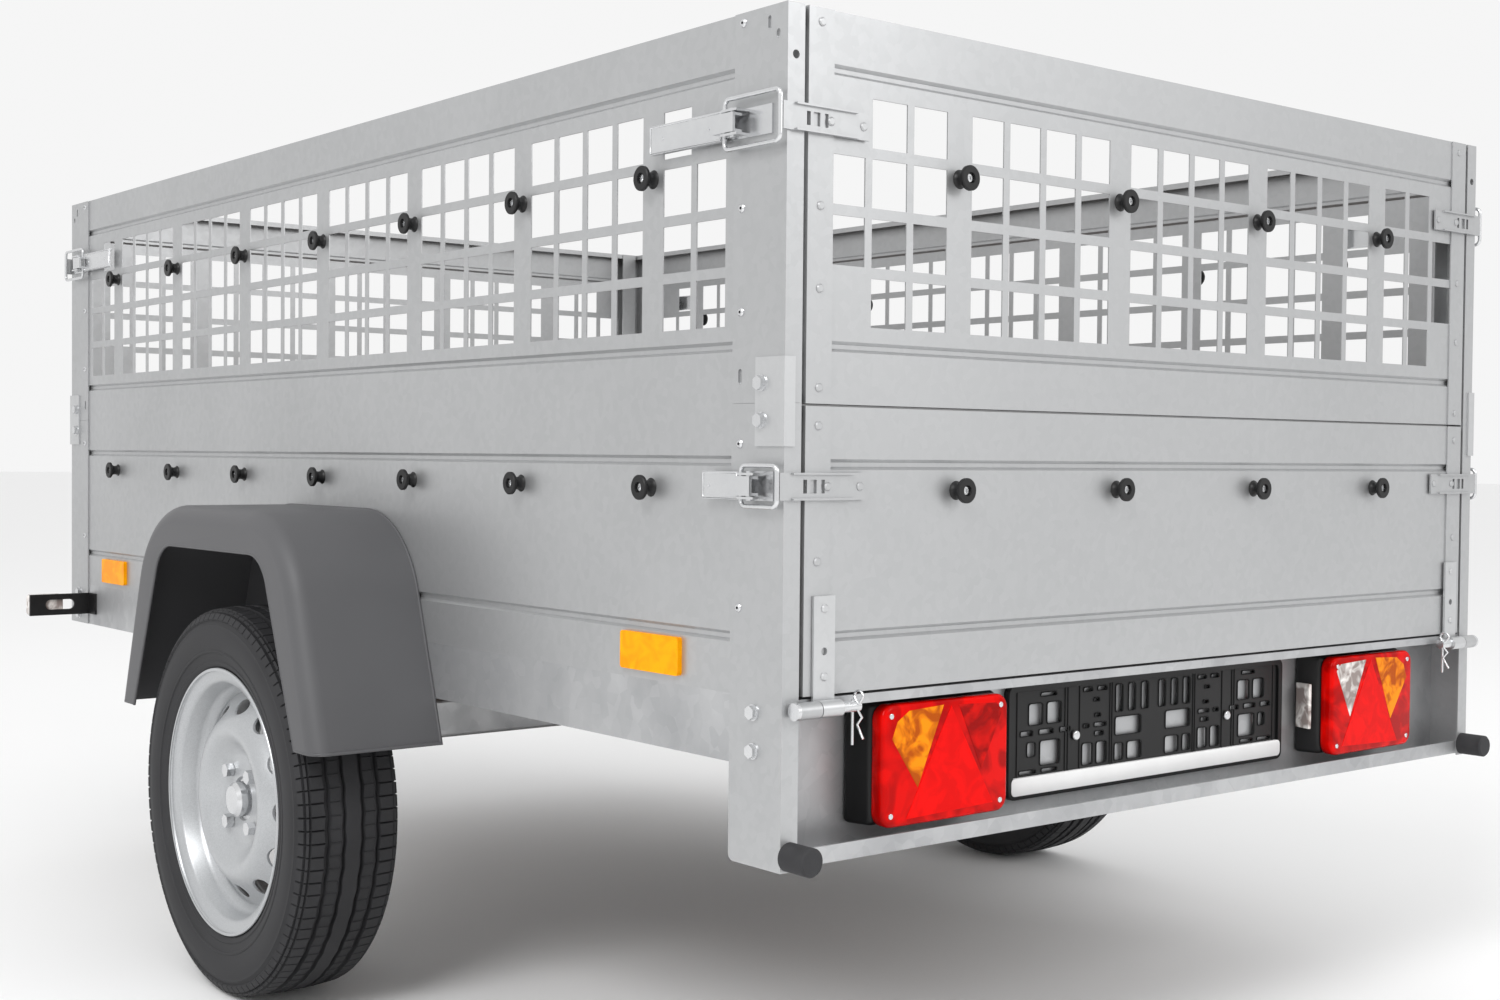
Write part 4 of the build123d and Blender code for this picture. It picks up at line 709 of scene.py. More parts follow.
class Wardrobe:
    """Makes each finish once and puts it on pieces and CAD nodes."""

    SLOTS = {
        "galvanised_sheet": SHEET,
        "galvanised_frame": FRAME_STEEL,
        "zinc_fittings": ZINC,
        "black_plastic": BLACK_PLASTIC,
        "mudguard_plastic": GUARD_PLASTIC,
        "tyre_rubber": TYRE_RUBBER,
        "buffer_rubber": BUFFER_RUBBER,
        "wheel_paint": WHEEL_PAINT,
        "red_lens": RED_LENS,
        "amber_lens": AMBER_PRISMS,
        "white_lens": CLEAR_LENS,
        "plywood": PLYWOOD,
    }

    # Nodes whose finish differs from the rest of their slot
    # Straps and brackets take the lighter steel with its painted highlight
    OWN = {"joining_brackets": HIGHLIGHTED_STRAP_STEEL, "tailgate_hinge_straps": HIGHLIGHTED_STRAP_STEEL}

    def __init__(self) -> None:
        """Starts with nothing made."""
        self.made: dict[str, bpy.types.Material] = {}

    def material(self, finish: Finish) -> bpy.types.Material:
        """Makes a finish's material the first time it is asked for.

        Args:
            finish: the finish.

        Returns:
            Its material.
        """
        if finish.name not in self.made:
            self.made[finish.name] = finish.make()
        return self.made[finish.name]

    def dress(self, piece: bpy.types.Object, finish: Finish) -> bpy.types.Object:
        """Puts one finish all over a piece.

        Args:
            piece: a new piece or a CAD node.
            finish: its finish.

        Returns:
            The same piece.
        """
        piece.data.materials.clear()
        piece.data.materials.append(self.material(finish))
        return piece

    def dress_frame(self) -> None:
        """Dresses every CAD node by its material slot in the record."""
        for part in frame["record"]["subparts"]:
            node = frame["nodes"][part["node"]]
            self.dress(node, self.OWN.get(part["node"], self.SLOTS[part["material_slot"]]))


WARDROBE = Wardrobe()


def hand_over(piece: bpy.types.Object, finish: Finish, body: str) -> bpy.types.Object:
    """Dresses a finished piece and lets it ride on a body.

    Args:
        piece: the finished piece.
        finish: its finish.
        body: the CAD body that carries it.

    Returns:
        The same piece.
    """
    WARDROBE.dress(piece, finish)
    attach(piece, body)
    LOG.info("%s rides on %s, %d faces", piece.name, body, len(piece.data.polygons))
    return piece


# Studio


@dataclass
class Studio:
    """Pale floor, soft light and the camera."""

    camera_place: Point = (-1.8498, -2.9159, 0.7475)
    yaw_degrees: float = 39.076
    pitch_degrees: float = 1.362
    roll_degrees: float = 0.532
    lens_mm: float = 44.42
    floor_half: float = 60.0
    floor_colour: str = "#F5F5F5"
    sky_strength: float = 0.92
    # Each soft box: name, place, width and power in watts
    boxes: tuple[tuple[str, Point, float, float], ...] = (
        ("key_box", (-4.5, -3.0, 4.5), 2.5, 190.0),
        ("rear_box", (1.8, -6.0, 3.2), 2.4, 85.0),
    )
    aim: Point = (0.0, -0.6, 0.6)

    def build(self) -> None:
        """Adds the floor, world light, lamps and camera."""
        self.add_floor()
        self.add_light()
        self.add_camera()

    def add_floor(self) -> None:
        """Adds one large pale plane, of matt paint."""
        bpy.ops.object.select_all(action="DESELECT")
        bpy.ops.mesh.primitive_plane_add(size=2 * self.floor_half)
        floor = settle(bpy.context.object, "studio_floor")
        material = bpy.data.materials.new("matt_studio_paint")
        material.use_nodes = True
        shader = material.node_tree.nodes["Principled BSDF"]
        shader.inputs["Base Color"].default_value = linear(self.floor_colour)
        shader.inputs["Roughness"].default_value = 0.9
        floor.data.materials.append(material)

    def add_light(self) -> None:
        """Lights the scene from a white sky and two wide soft boxes."""
        world = bpy.data.worlds.new("white_sky")
        world.use_nodes = True
        background = world.node_tree.nodes["Background"]
        background.inputs["Color"].default_value = (1.0, 1.0, 1.0, 1.0)
        background.inputs["Strength"].default_value = self.sky_strength
        bpy.context.scene.world = world
        for name, place, size, power in self.boxes:
            bpy.ops.object.select_all(action="DESELECT")
            bpy.ops.object.light_add(type="AREA", location=place)
            box = bpy.context.object
            box.name = name
            box.data.size = size
            box.data.energy = power
            ahead = Vector(self.aim) - Vector(place)
            box.rotation_euler = ahead.to_track_quat("-Z", "Y").to_euler()

    def add_camera(self) -> None:
        """Stands the camera at the corner of the trailer, turned by yaw, pitch and roll."""
        turns = (self.yaw_degrees, self.pitch_degrees, self.roll_degrees)
        yaw, pitch, roll = (math.radians(turn) for turn in turns)
        ahead = Vector((math.sin(yaw) * math.cos(pitch), math.cos(yaw) * math.cos(pitch), -math.sin(pitch)))
        level = Vector((math.cos(yaw), -math.sin(yaw), 0.0))
        upright = level.cross(ahead)
        across = math.cos(roll) * level + math.sin(roll) * upright
        up = math.cos(roll) * upright - math.sin(roll) * level
        bpy.ops.object.select_all(action="DESELECT")
        bpy.ops.object.camera_add()
        camera = bpy.context.object
        camera.name = "studio_camera"
        turn = Matrix((across, up, -ahead)).transposed().to_4x4()
        camera.matrix_world = Matrix.Translation(self.camera_place) @ turn
        camera.data.sensor_width = 36.0
        camera.data.lens = self.lens_mm
        camera.data.clip_start = 0.05
        camera.data.clip_end = 200.0
        bpy.context.scene.camera = camera
        bpy.context.scene.view_settings.view_transform = "Standard"


# Wheels


@dataclass
class Tyre:
    """A 13 inch road tyre with four grooves round it and cut shoulder blocks."""

    radius: float = 0.267
    half_width: float = 0.0728
    tread_half: float = 0.058
    crown_drop: float = 0.003
    groove_middles: tuple[float, ...] = (0.013, 0.035)
    groove_width: float = 0.006
    groove_depth: float = 0.0065
    blocks: int = 96
    block_gap: float = 0.0013
    block_rise: float = 0.0034
    zigzag: float = 0.0016
    lining: float = 0.259
    wall_strip: float = 0.004
    shoulder_drop: float = 0.016
    rib_drop: float = 0.004
    outward: float = 0.3
    sideways: float = 0.2
    station_slack: float = 0.05
    # Outside of the wall: how far in from the widest point, then radius
    wall: Section = (
        (0.0100, 0.2575), (0.0045, 0.2475), (0.0026, 0.2440), (0.0012, 0.2425), (0.0014, 0.2385),
        (0.0006, 0.2365), (0.0, 0.2255), (0.0006, 0.2135), (0.0020, 0.2080), (0.0011, 0.2065),
        (0.0013, 0.2045), (0.0031, 0.2030), (0.0060, 0.1935), (0.0052, 0.1915), (0.0068, 0.1865),
        (0.0102, 0.1832),
    )

    def crown(self, out: float) -> float:
        """Radius of the tread at a distance from the middle."""
        return self.radius - self.crown_drop * (out / self.tread_half) ** 2

    def half_profile(self) -> list[tuple[float, float]]:
        """Half of the section, from the middle of the tread over the wall to the bead and lining.

        Returns:
            Pairs of distance from the wheel's middle and radius.
        """
        tread = [(0.0, self.crown(0.0))]
        for middle in self.groove_middles:
            for step, depth in ((-0.5, 0.0), (-0.35, 1.0), (0.35, 1.0), (0.5, 0.0)):
                out = middle + step * self.groove_width
                tread.append((out, self.crown(out) - depth * self.groove_depth))
        last, edge = tread.pop(), (self.tread_half, self.crown(self.tread_half))
        tread += [(last[0], last[1] - self.block_rise), (edge[0], edge[1] - self.block_rise)]
        half = self.half_width
        wall = [(half - inward, high) for inward, high in self.wall]
        inside = [
            (0.058, 0.169), (0.053, 0.1656), (0.039, 0.1662), (0.041, 0.179), (half - 0.012, 0.2255),
            (0.054, 0.2565), (0.0, self.lining - 0.001),
        ]
        return tread + wall + inside

    def build(self) -> bpy.types.Object:
        """Spins the section and raises the shoulder blocks.

        Returns:
            The tyre, with its axis on X and its middle at the origin.
        """
        half = self.half_profile()
        loop = [(out, 0.0, high) for out, high in half]
        loop += [(-out, 0.0, high) for out, high in reversed(half)]
        tyre = spin_round(draw_line("tyre_model", loop), (0.0, 0.0, 0.0), (1.0, 0.0, 0.0), self.blocks)
        self.bend_grooves(tyre)
        start = self.groove_middles[-1] + self.groove_width / 2
        pick_faces(
            tyre,
            lambda at, facing: start < abs(at.x) < self.half_width - self.wall_strip
            and at.yz.length > self.radius - self.shoulder_drop
            and at.yz.normalized().dot(facing.yz) > self.outward
            and abs(facing.x) < SQUARE,
        )
        bpy.ops.mesh.inset(thickness=self.block_gap, depth=self.block_rise, use_individual=True)
        leave_edit()
        pick_faces(
            tyre,
            lambda at, facing: self.groove_middles[0] < abs(at.x) < self.groove_middles[1]
            and at.yz.length > self.radius - self.rib_drop
            and abs(facing.x) < self.sideways,
        )
        bpy.ops.mesh.inset(thickness=self.block_gap / 2, depth=-self.block_gap, use_individual=True)
        leave_edit()
        return shade(tyre, 30.0)

    def bend_grooves(self, tyre: bpy.types.Object) -> None:
        """Shifts every other station of the inner tread sideways, so that the grooves zigzag.

        Args:
            tyre: the spun tyre.
        """
        pitch = math.tau / self.blocks
        reach = self.groove_middles[-1] + self.groove_width

        def on_even_station(at: Vector, way: Vector) -> bool:
            """Says whether an edge across the tread stands on an even station.

            Args:
                at: the edge's middle.
                way: its direction.

            Returns:
                True when it does.
            """
            station = math.atan2(at.y, at.z) / pitch
            flat = abs(station - round(station)) < self.station_slack
            return flat and round(station) % 2 == 0 and abs(at.x) < reach and at.yz.length > self.lining

        pick_edges(tyre, on_even_station)
        bpy.ops.transform.translate(value=(self.zigzag, 0.0, 0.0))
        leave_edit()


@dataclass
class Rim:
    """A pressed steel wheel: a rolled barrel and a domed disc with oval vents."""

    sheet: float = 0.0035
    steps: int = 160
    vents: int = 12
    vent_circle: float = 0.1275
    vent_half: tuple[float, float] = (0.0165, 0.0100)
    bolt_circle_radius: float = 0.049
    bolts: int = 4
    bolt_hole: float = 0.0075
    cutter_length: float = 0.08
    # Half of each section: distance from the wheel's middle, then radius
    flange: Section = (
        (0.0668, 0.1822), (0.0655, 0.1830), (0.0632, 0.1818), (0.0612, 0.1765), (0.0590, 0.1690),
        (0.0550, 0.1652),
    )
    well: Section = (
        (0.0360, 0.1622), (0.0300, 0.1580), (0.0250, 0.1510), (0.0220, 0.1502), (-0.0120, 0.1502),
        (-0.0160, 0.1530), (-0.0260, 0.1610),
    )
    disc: Section = (
        (0.0300, 0.0305), (0.0300, 0.0600), (0.0310, 0.0640), (0.0350, 0.0705), (0.0430, 0.0800),
        (0.0490, 0.0880), (0.0515, 0.0955), (0.0510, 0.1030), (0.0470, 0.1110), (0.0390, 0.1190),
        (0.0290, 0.1300), (0.0230, 0.1380), (0.0195, 0.1430), (0.0180, 0.1470),
    )

    def sheet_loop(self, line: Section, shift: tuple[float, float]) -> list[Point]:
        """Closes a section: the line, and the same line shifted by the sheet's thickness.

        Args:
            line: the line along one face of the sheet.
            shift: how the other face is shifted.

        Returns:
            The corners of the closed section.
        """
        near = [(out, 0.0, high) for out, high in line]
        far = [(out + shift[0], 0.0, high + shift[1]) for out, high in reversed(line)]
        return near + far + near[:1]

    def build(self) -> bpy.types.Object:
        """Spins the barrel and the disc, and cuts the vents and bolt holes.

        Returns:
            The rim, with its axis on X and its outer face towards +X.
        """
        centre, axis = (0.0, 0.0, 0.0), (1.0, 0.0, 0.0)
        far_flange = tuple((-out, high) for out, high in reversed(self.flange))
        line = self.flange + self.well + far_flange
        barrel = draw_line("barrel", self.sheet_loop(line, (0.0, -self.sheet)))
        spin_round(barrel, centre, axis, self.steps)
        disc = draw_line("disc", self.sheet_loop(self.disc, (self.sheet, 0.0)))
        spin_round(disc, centre, axis, self.steps)
        cutters = []
        for number in range(self.vents):
            cutter = start_rod(f"vent_{number}", centre, axis, 1.0, self.cutter_length, 28)
            pick_only(cutter)
            cutter.scale = (1.0, self.vent_half[0], self.vent_half[1])
            settle(cutter, cutter.name)
            turn = Matrix.Rotation(math.tau * number / self.vents, 4, "X")
            cutter.data.transform(turn @ Matrix.Translation((0.0, 0.0, self.vent_circle)))
            cutters.append(cutter)
        for number in range(self.bolts):
            angle = math.tau * (number + 0.5) / self.bolts
            circle = self.bolt_circle_radius
            foot = (0.0, circle * math.cos(angle), circle * math.sin(angle))
            hole = start_rod(f"hole_{number}", foot, axis, self.bolt_hole, self.cutter_length, 24)
            cutters.append(hole)
        cut_out(disc, join(cutters, "cutters"))
        return shade(join([barrel, disc], "rim_model"), 40.0)


def cut_out(piece: bpy.types.Object, cutter: bpy.types.Object) -> bpy.types.Object:
    """Cuts one piece's shape out of another and throws the cutter away.

    Args:
        piece: the piece that is cut.
        cutter: the shape taken out of it.

    Returns:
        The cut piece.
    """
    finish_with(piece, "BOOLEAN", object=cutter, operation="DIFFERENCE", solver="EXACT")
    bpy.data.objects.remove(cutter, do_unlink=True)
    return piece


@dataclass
class Wheels:
    """Both wheels: the tyre and rim are modelled once and copied to each side."""

    tyre: Tyre = field(default_factory=Tyre)
    rim: Rim = field(default_factory=Rim)

    def build(self) -> None:
        """Builds the models, copies them to both sides and throws the models away."""
        for model, finish, slot, word in (
            (self.tyre.build(), TYRE_RUBBER, "tyre_rubber", "tyre"),
            (self.rim.build(), WHEEL_PAINT, "wheel_paint", "rim"),
        ):
            for side in Side:
                low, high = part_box(f"{word}_{side.word}")
                turn = Matrix.Rotation(math.pi if side is Side.LEFT else 0.0, 4, "Z")
                place = Matrix.Translation((low + high) / 2) @ turn
                piece = copy_at(model, place, f"road_{word}_{side.word}")
                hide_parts(f"{word}_{side.word}")
                hand_over(piece, finish, f"{side.word}_wheel")
            bpy.data.objects.remove(model, do_unlink=True)


# Mudguards


@dataclass
class Hoop:
    """The side outline of a mudguard: two leaning legs and a flat top, with rounded shoulders."""

    foot: float
    shoulder: float
    top: float
    radius: float
    bottom: float
    arc_steps: int = 20

    def shrunk(self, inset: float, drop: float = 0.0) -> "Hoop":
        """Makes a smaller hoop.

        Args:
            inset: how much smaller it is all round.
            drop: how much further down its feet reach.

        Returns:
            The new hoop.
        """
        return replace(
            self,
            foot=self.foot - inset,
            shoulder=self.shoulder - inset,
            top=self.top - inset,
            radius=self.radius - inset,
            bottom=self.bottom - drop,
        )

    def points(self, out: float, middle: float) -> list[Point]:
        """Points along the hoop in a plane of constant X.

        Args:
            out: X of the plane.
            middle: Y of the hoop's middle.

        Returns:
            The points from one foot to the other.
        """
        corner, leg = Vector((-self.shoulder, self.top)), Vector((-self.foot, self.bottom))
        to_leg = (leg - corner).normalized()
        bisector = (to_leg + Vector((1.0, 0.0))).normalized()
        half_angle = to_leg.angle(bisector)
        centre = corner + bisector * self.radius / math.sin(half_angle)
        start = corner + to_leg * self.radius / math.tan(half_angle) - centre
        sweep = math.pi - 2 * half_angle
        turns = [-sweep * step / self.arc_steps for step in range(self.arc_steps + 1)]
        arc = [centre + Matrix.Rotation(turn, 2) @ start for turn in turns]
        rear = [leg, *arc]
        front = [Vector((-p.x, p.y)) for p in reversed(rear)]
        return [(out, middle + p.x, p.y) for p in rear + front]


@dataclass
class Mudguards:
    """Two blown plastic mudguards with soft shoulders and a bead along every free edge."""

    foot_reach: float = 0.330
    shoulder_reach: float = 0.230
    corner_radius: float = 0.155
    skirt: float = 0.058
    skirt_radius: float = 0.060
    wall: float = 0.003
    shoulder_round: float = 0.024
    # How far the foot's bead cuts the corner, as a share of the rounding
    bead_cut: float = 0.3
    bead: float = 0.0022

    def build(self) -> None:
        """Builds the left mudguard and mirrors it to the right."""
        low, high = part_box("mudguards")
        middle = (low.y + high.y) / 2
        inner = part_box("lower_side_panels")[0].x
        left = self.build_left(low.x, inner, middle, low.z, high.z)
        right = left.copy()
        right.data = left.data.copy()
        bpy.context.scene.collection.objects.link(right)
        right.data.transform(Matrix.Scale(-1.0, 4, (1.0, 0.0, 0.0)))
        right.name = "mudguard_right"
        pick_only(right)
        bpy.ops.object.mode_set(mode="EDIT")
        bpy.ops.mesh.select_all(action="SELECT")
        bpy.ops.mesh.flip_normals()
        leave_edit()
        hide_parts("mudguards")
        for guard in (left, right):
            hand_over(guard, GUARD_PLASTIC, "chassis")

    def build_left(
        self, outer: float, inner: float, middle: float, bottom: float, top: float
    ) -> bpy.types.Object:
        """Builds the left shell from an arched block, hollowed and opened.

        Args:
            outer: X of the skirt.
            inner: X of the trailer's side.
            middle: Y of the arch's middle.
            bottom: Z of its feet.
            top: Z of its crown.

        Returns:
            The left mudguard.
        """
        hoop = Hoop(self.foot_reach, self.shoulder_reach, top, self.corner_radius, bottom)
        shell_hoop = hoop.shrunk(self.bead / 2)
        skin = outer + self.bead / 2
        shell = draw_plate("mudguard_left", shell_hoop.points(skin, middle), (inner - skin, 0.0, 0.0))
        self.soften(shell, skin, bottom, self.shoulder_round)
        hollow_hoop = shell_hoop.shrunk(self.wall, self.wall)
        hollow = draw_plate(
            "hollow", hollow_hoop.points(skin + self.wall, middle), (inner - skin - 2 * self.wall, 0.0, 0.0)
        )
        self.soften(hollow, skin + self.wall, bottom - self.wall, self.shoulder_round - self.wall)
        cut_out(shell, hollow)
        opening_hoop = replace(hoop.shrunk(self.skirt), radius=self.skirt_radius)
        through = opening_hoop.shrunk(0.0, self.wall).points(skin - self.wall, middle)
        cut_out(shell, draw_plate("opening", through, (4 * self.wall, 0.0, 0.0)))
        rounded = shade(shell, 30.0)
        skirt_line = opening_hoop.points(skin + self.wall / 2, middle)
        body_line = hoop.shrunk(self.bead).points(inner - self.bead, middle)
        beads = [
            draw_wire("opening_bead", skirt_line, self.bead),
            draw_wire("body_bead", body_line, self.bead),
        ]
        for way in (-1, 1):
            foot = way * (self.foot_reach - self.bead)
            far = way * (self.foot_reach - self.skirt)
            corner = way * (self.foot_reach - self.shoulder_round)
            bend = self.shoulder_round * self.bead_cut
            path = [
                (inner - self.bead, middle + foot, bottom + self.bead),
                (skin + self.shoulder_round, middle + foot, bottom + self.bead),
                (skin + bend, middle + foot - way * bend, bottom + self.bead),
                (skin + self.wall / 2, middle + corner, bottom + self.bead),
                (skin + self.wall / 2, middle + far, bottom + self.bead),
            ]
            beads.append(draw_wire(f"foot_bead_{way}", path, self.bead))
        return join([rounded, *beads], "mudguard_left")

    def soften(self, block: bpy.types.Object, skin: float, bottom: float, radius: float) -> None:
        """Rounds a block's outer rim, all but its straight foot.

        Args:
            block: the block.
            skin: X of its outer face.
            bottom: Z of its foot.
            radius: radius of the rounding.
        """
        pick_edges(block, lambda at, way: abs(at.x - skin) < MM / 2 and at.z > bottom + MM)
        bpy.ops.mesh.bevel(offset=radius, segments=7, affect="EDGES")
        leave_edit()


def draw_wire(name: str, points: Iterable[Point], radius: float) -> bpy.types.Object:
    """Makes a round wire along a chain of points.

    Args:
        name: name of the piece.
        points: the wire's middle line.
        radius: the wire's radius.

    Returns:
        The wire as a mesh.
    """
    piece = draw_line(name, points)
    leave_edit()
    pick_only(piece)
    bpy.ops.object.convert(target="CURVE")
    curve = bpy.context.object
    curve.data.bevel_depth = radius
    curve.data.bevel_resolution = 2
    curve.data.use_fill_caps = True
    bpy.ops.object.convert(target="MESH")
    return shade(bpy.context.object, 50.0)


# Lamps


@dataclass(frozen=True)
class LensPlace:
    """Where one lens stands: its X at the outer and inner edge, its Z below and above, its face's Y."""

    side: Side
    outer: float
    inner: float
    bottom: float
    top: float
    face: float


@dataclass
class RearLamps:
    """Two rear lamps: a deep red lens on a black tray, with coloured fields in its face."""

    holder_gap: float = 0.039
    overlap: float = 0.001
    taper: float = 0.0105
    top_taper: float = 0.004
    lens_depth: float = 0.017
    lens_proud: float = 0.002
    corner: float = 0.016
    edge: float = 0.005
    tray_round: float = 0.006
    field_rise: float = 0.0005
    field_bevel: float = 0.0003
    screw_radius: float = 0.0032
    screw_inset: float = 0.012
    screw_height: float = 0.002
    screw_round: float = 0.0008
    # Fields as shares of the lens: across from its outer edge, then up from its bottom
    outer_field: Section = ((0.07, 0.72), (0.11, 0.86), (0.2, 0.94), (0.47, 0.96), (0.27, 0.30))
    middle_field: Section = ((0.53, 0.95), (0.88, 0.08), (0.18, 0.05))
    inner_field: Section = ((0.59, 0.95), (0.9, 0.93), (0.95, 0.86), (0.78, 0.38))
    # The plate light's window: its ends behind the tray's back, and its edges inside the tray
    window_ends: tuple[float, float] = (0.032, 0.006)
    window_round: float = 0.0008
    window_slant: float = 0.30
    window_edges: tuple[float, float] = (0.035, 0.040)

    def build(self) -> None:
        """Builds the left and right lamps."""
        low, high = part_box("rear_lamp_housings")
        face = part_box("rear_lamp_lenses")[0].y
        wide_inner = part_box("plate_holder")[1].x + self.holder_gap
        lenses, trays = [], []
        for side in Side:
            place = LensPlace(
                side,
                side.value * (high.x - self.taper),
                side.value * (wide_inner + self.taper),
                low.z,
                high.z - self.top_taper,
                face - self.lens_proud,
            )
            trays.append(self.tray(side, wide_inner, low, high, face + self.lens_depth - MM))
            lenses.append(self.lens(place, face + self.lens_depth))
            self.add_fields(place)
            self.add_screws(place)
        whole = join(lenses, "rear_lamp_bodies")
        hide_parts("rear_lamp_lenses")
        hand_over(whole, RED_LENS, "chassis")
        tray = join(trays, "rear_lamp_trays")
        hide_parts("rear_lamp_housings")
        hand_over(tray, BLACK_PLASTIC, "chassis")
        self.add_window(wide_inner, low, high)

    def lens(self, place: LensPlace, back: float) -> bpy.types.Object:
        """Makes a lens as a deep cap with rounded corners.

        Args:
            place: where the lens stands.
            back: Y of its back.

        Returns:
            The lens.
        """
        grow = place.side.value * self.overlap
        lens = start_box(
            f"lens_{place.side.word}",
            (place.outer + grow, place.face, place.bottom - self.overlap),
            (place.inner - grow, back, place.top),
        )
        round_upright(lens, self.corner)
        return round_edges(lens, self.edge, 4)

    def tray(self, side: Side, inner: float, low: Vector, high: Vector, front: float) -> bpy.types.Object:
        """Makes one tray, drawn in at its front where the lens sits.

        Args:
            side: which lamp.
            inner: X of its inner edge at the back.
            low: low corner of both trays' box.
            high: high corner of both trays' box.
            front: Y of its front.

        Returns:
            The tray.
        """
        tray = start_box(
            f"tray_{side.word}", (side.value * inner, front, low.z), (side.value * high.x, high.y, high.z)
        )
        width, height = high.x - inner, high.z - low.z
        pick_faces(tray, lambda _, facing: facing.y < -0.9)
        bpy.ops.transform.resize(
            value=(1 - 2 * self.taper / width, 1.0, 1 - self.top_taper / height),
            center_override=(side.value * (inner + width / 2), front, low.z),
        )
        leave_edit()
        return round_edges(tray, self.tray_round, 4)

    def add_fields(self, place: LensPlace) -> None:
        """Sets the coloured fields in a lens's face.

        Args:
            place: where the lens stands.
        """
        kinds = {
            "turn_field": (self.outer_field, AMBER_LENS, "amber_lens"),
            "reflex_field": (self.middle_field, RED_FIELD, "red_lens"),
            "fog_field": (self.inner_field, DEEP_RED_LENS, "red_lens"),
        }
        if place.side is Side.RIGHT:
            kinds["reversing_field"] = (self.inner_field, CLEAR_LENS, "white_lens")
            del kinds["fog_field"]
        width, height = place.inner - place.outer, place.top - place.bottom
        for word, (shape, finish, slot) in kinds.items():
            front = place.face - self.field_rise
            points = [(place.outer + width * u, front, place.bottom + height * v) for u, v in shape]
            plate = draw_plate(f"{word}_{place.side.word}", points, (0.0, 2 * self.field_rise, 0.0))
            finish_with(plate, "BEVEL", width=self.field_bevel, segments=1, limit_method="ANGLE")
            hand_over(plate, finish, "chassis")

    def add_screws(self, place: LensPlace) -> None:
        """Drives a small screw into each corner of a lens.

        Args:
            place: where the lens stands.
        """
        inset = place.side.value * self.screw_inset
        screws = []
        for across in (place.outer - inset, place.inner + inset):
            for up in (place.bottom + self.screw_inset, place.top - self.screw_inset):
                foot = (across, place.face + MM, up)
                screw = start_rod("screw", foot, BACKWARD, self.screw_radius, self.screw_height, 20)
                screws.append(round_edges(screw, self.screw_round))
        hand_over(join(screws, f"lens_screws_{place.side.word}"), ZINC, "chassis")

    def add_window(self, inner: float, low: Vector, high: Vector) -> None:
        """Sets the plate light's clear window in the right tray's slanting inner side.

        Args:
            inner: X of the tray's inner edge at its back.
            low: low corner of both trays' box.
            high: high corner of both trays' box.
        """
        far, near = self.window_ends
        under, over = self.window_edges
        window = start_box(
            "plate_light_window",
            (inner - MM, high.y - far, low.z + under),
            (inner + 4 * MM, high.y - near, high.z - over),
        )
        round_edges(window, self.window_round)
        slant = Matrix.Rotation(-math.atan(self.window_slant), 4, "Z")
        corner = Matrix.Translation((inner, high.y, 0.0))
        window.data.transform(corner @ slant @ corner.inverted())
        hand_over(window, CLEAR_LENS, "chassis")


# Plate holder


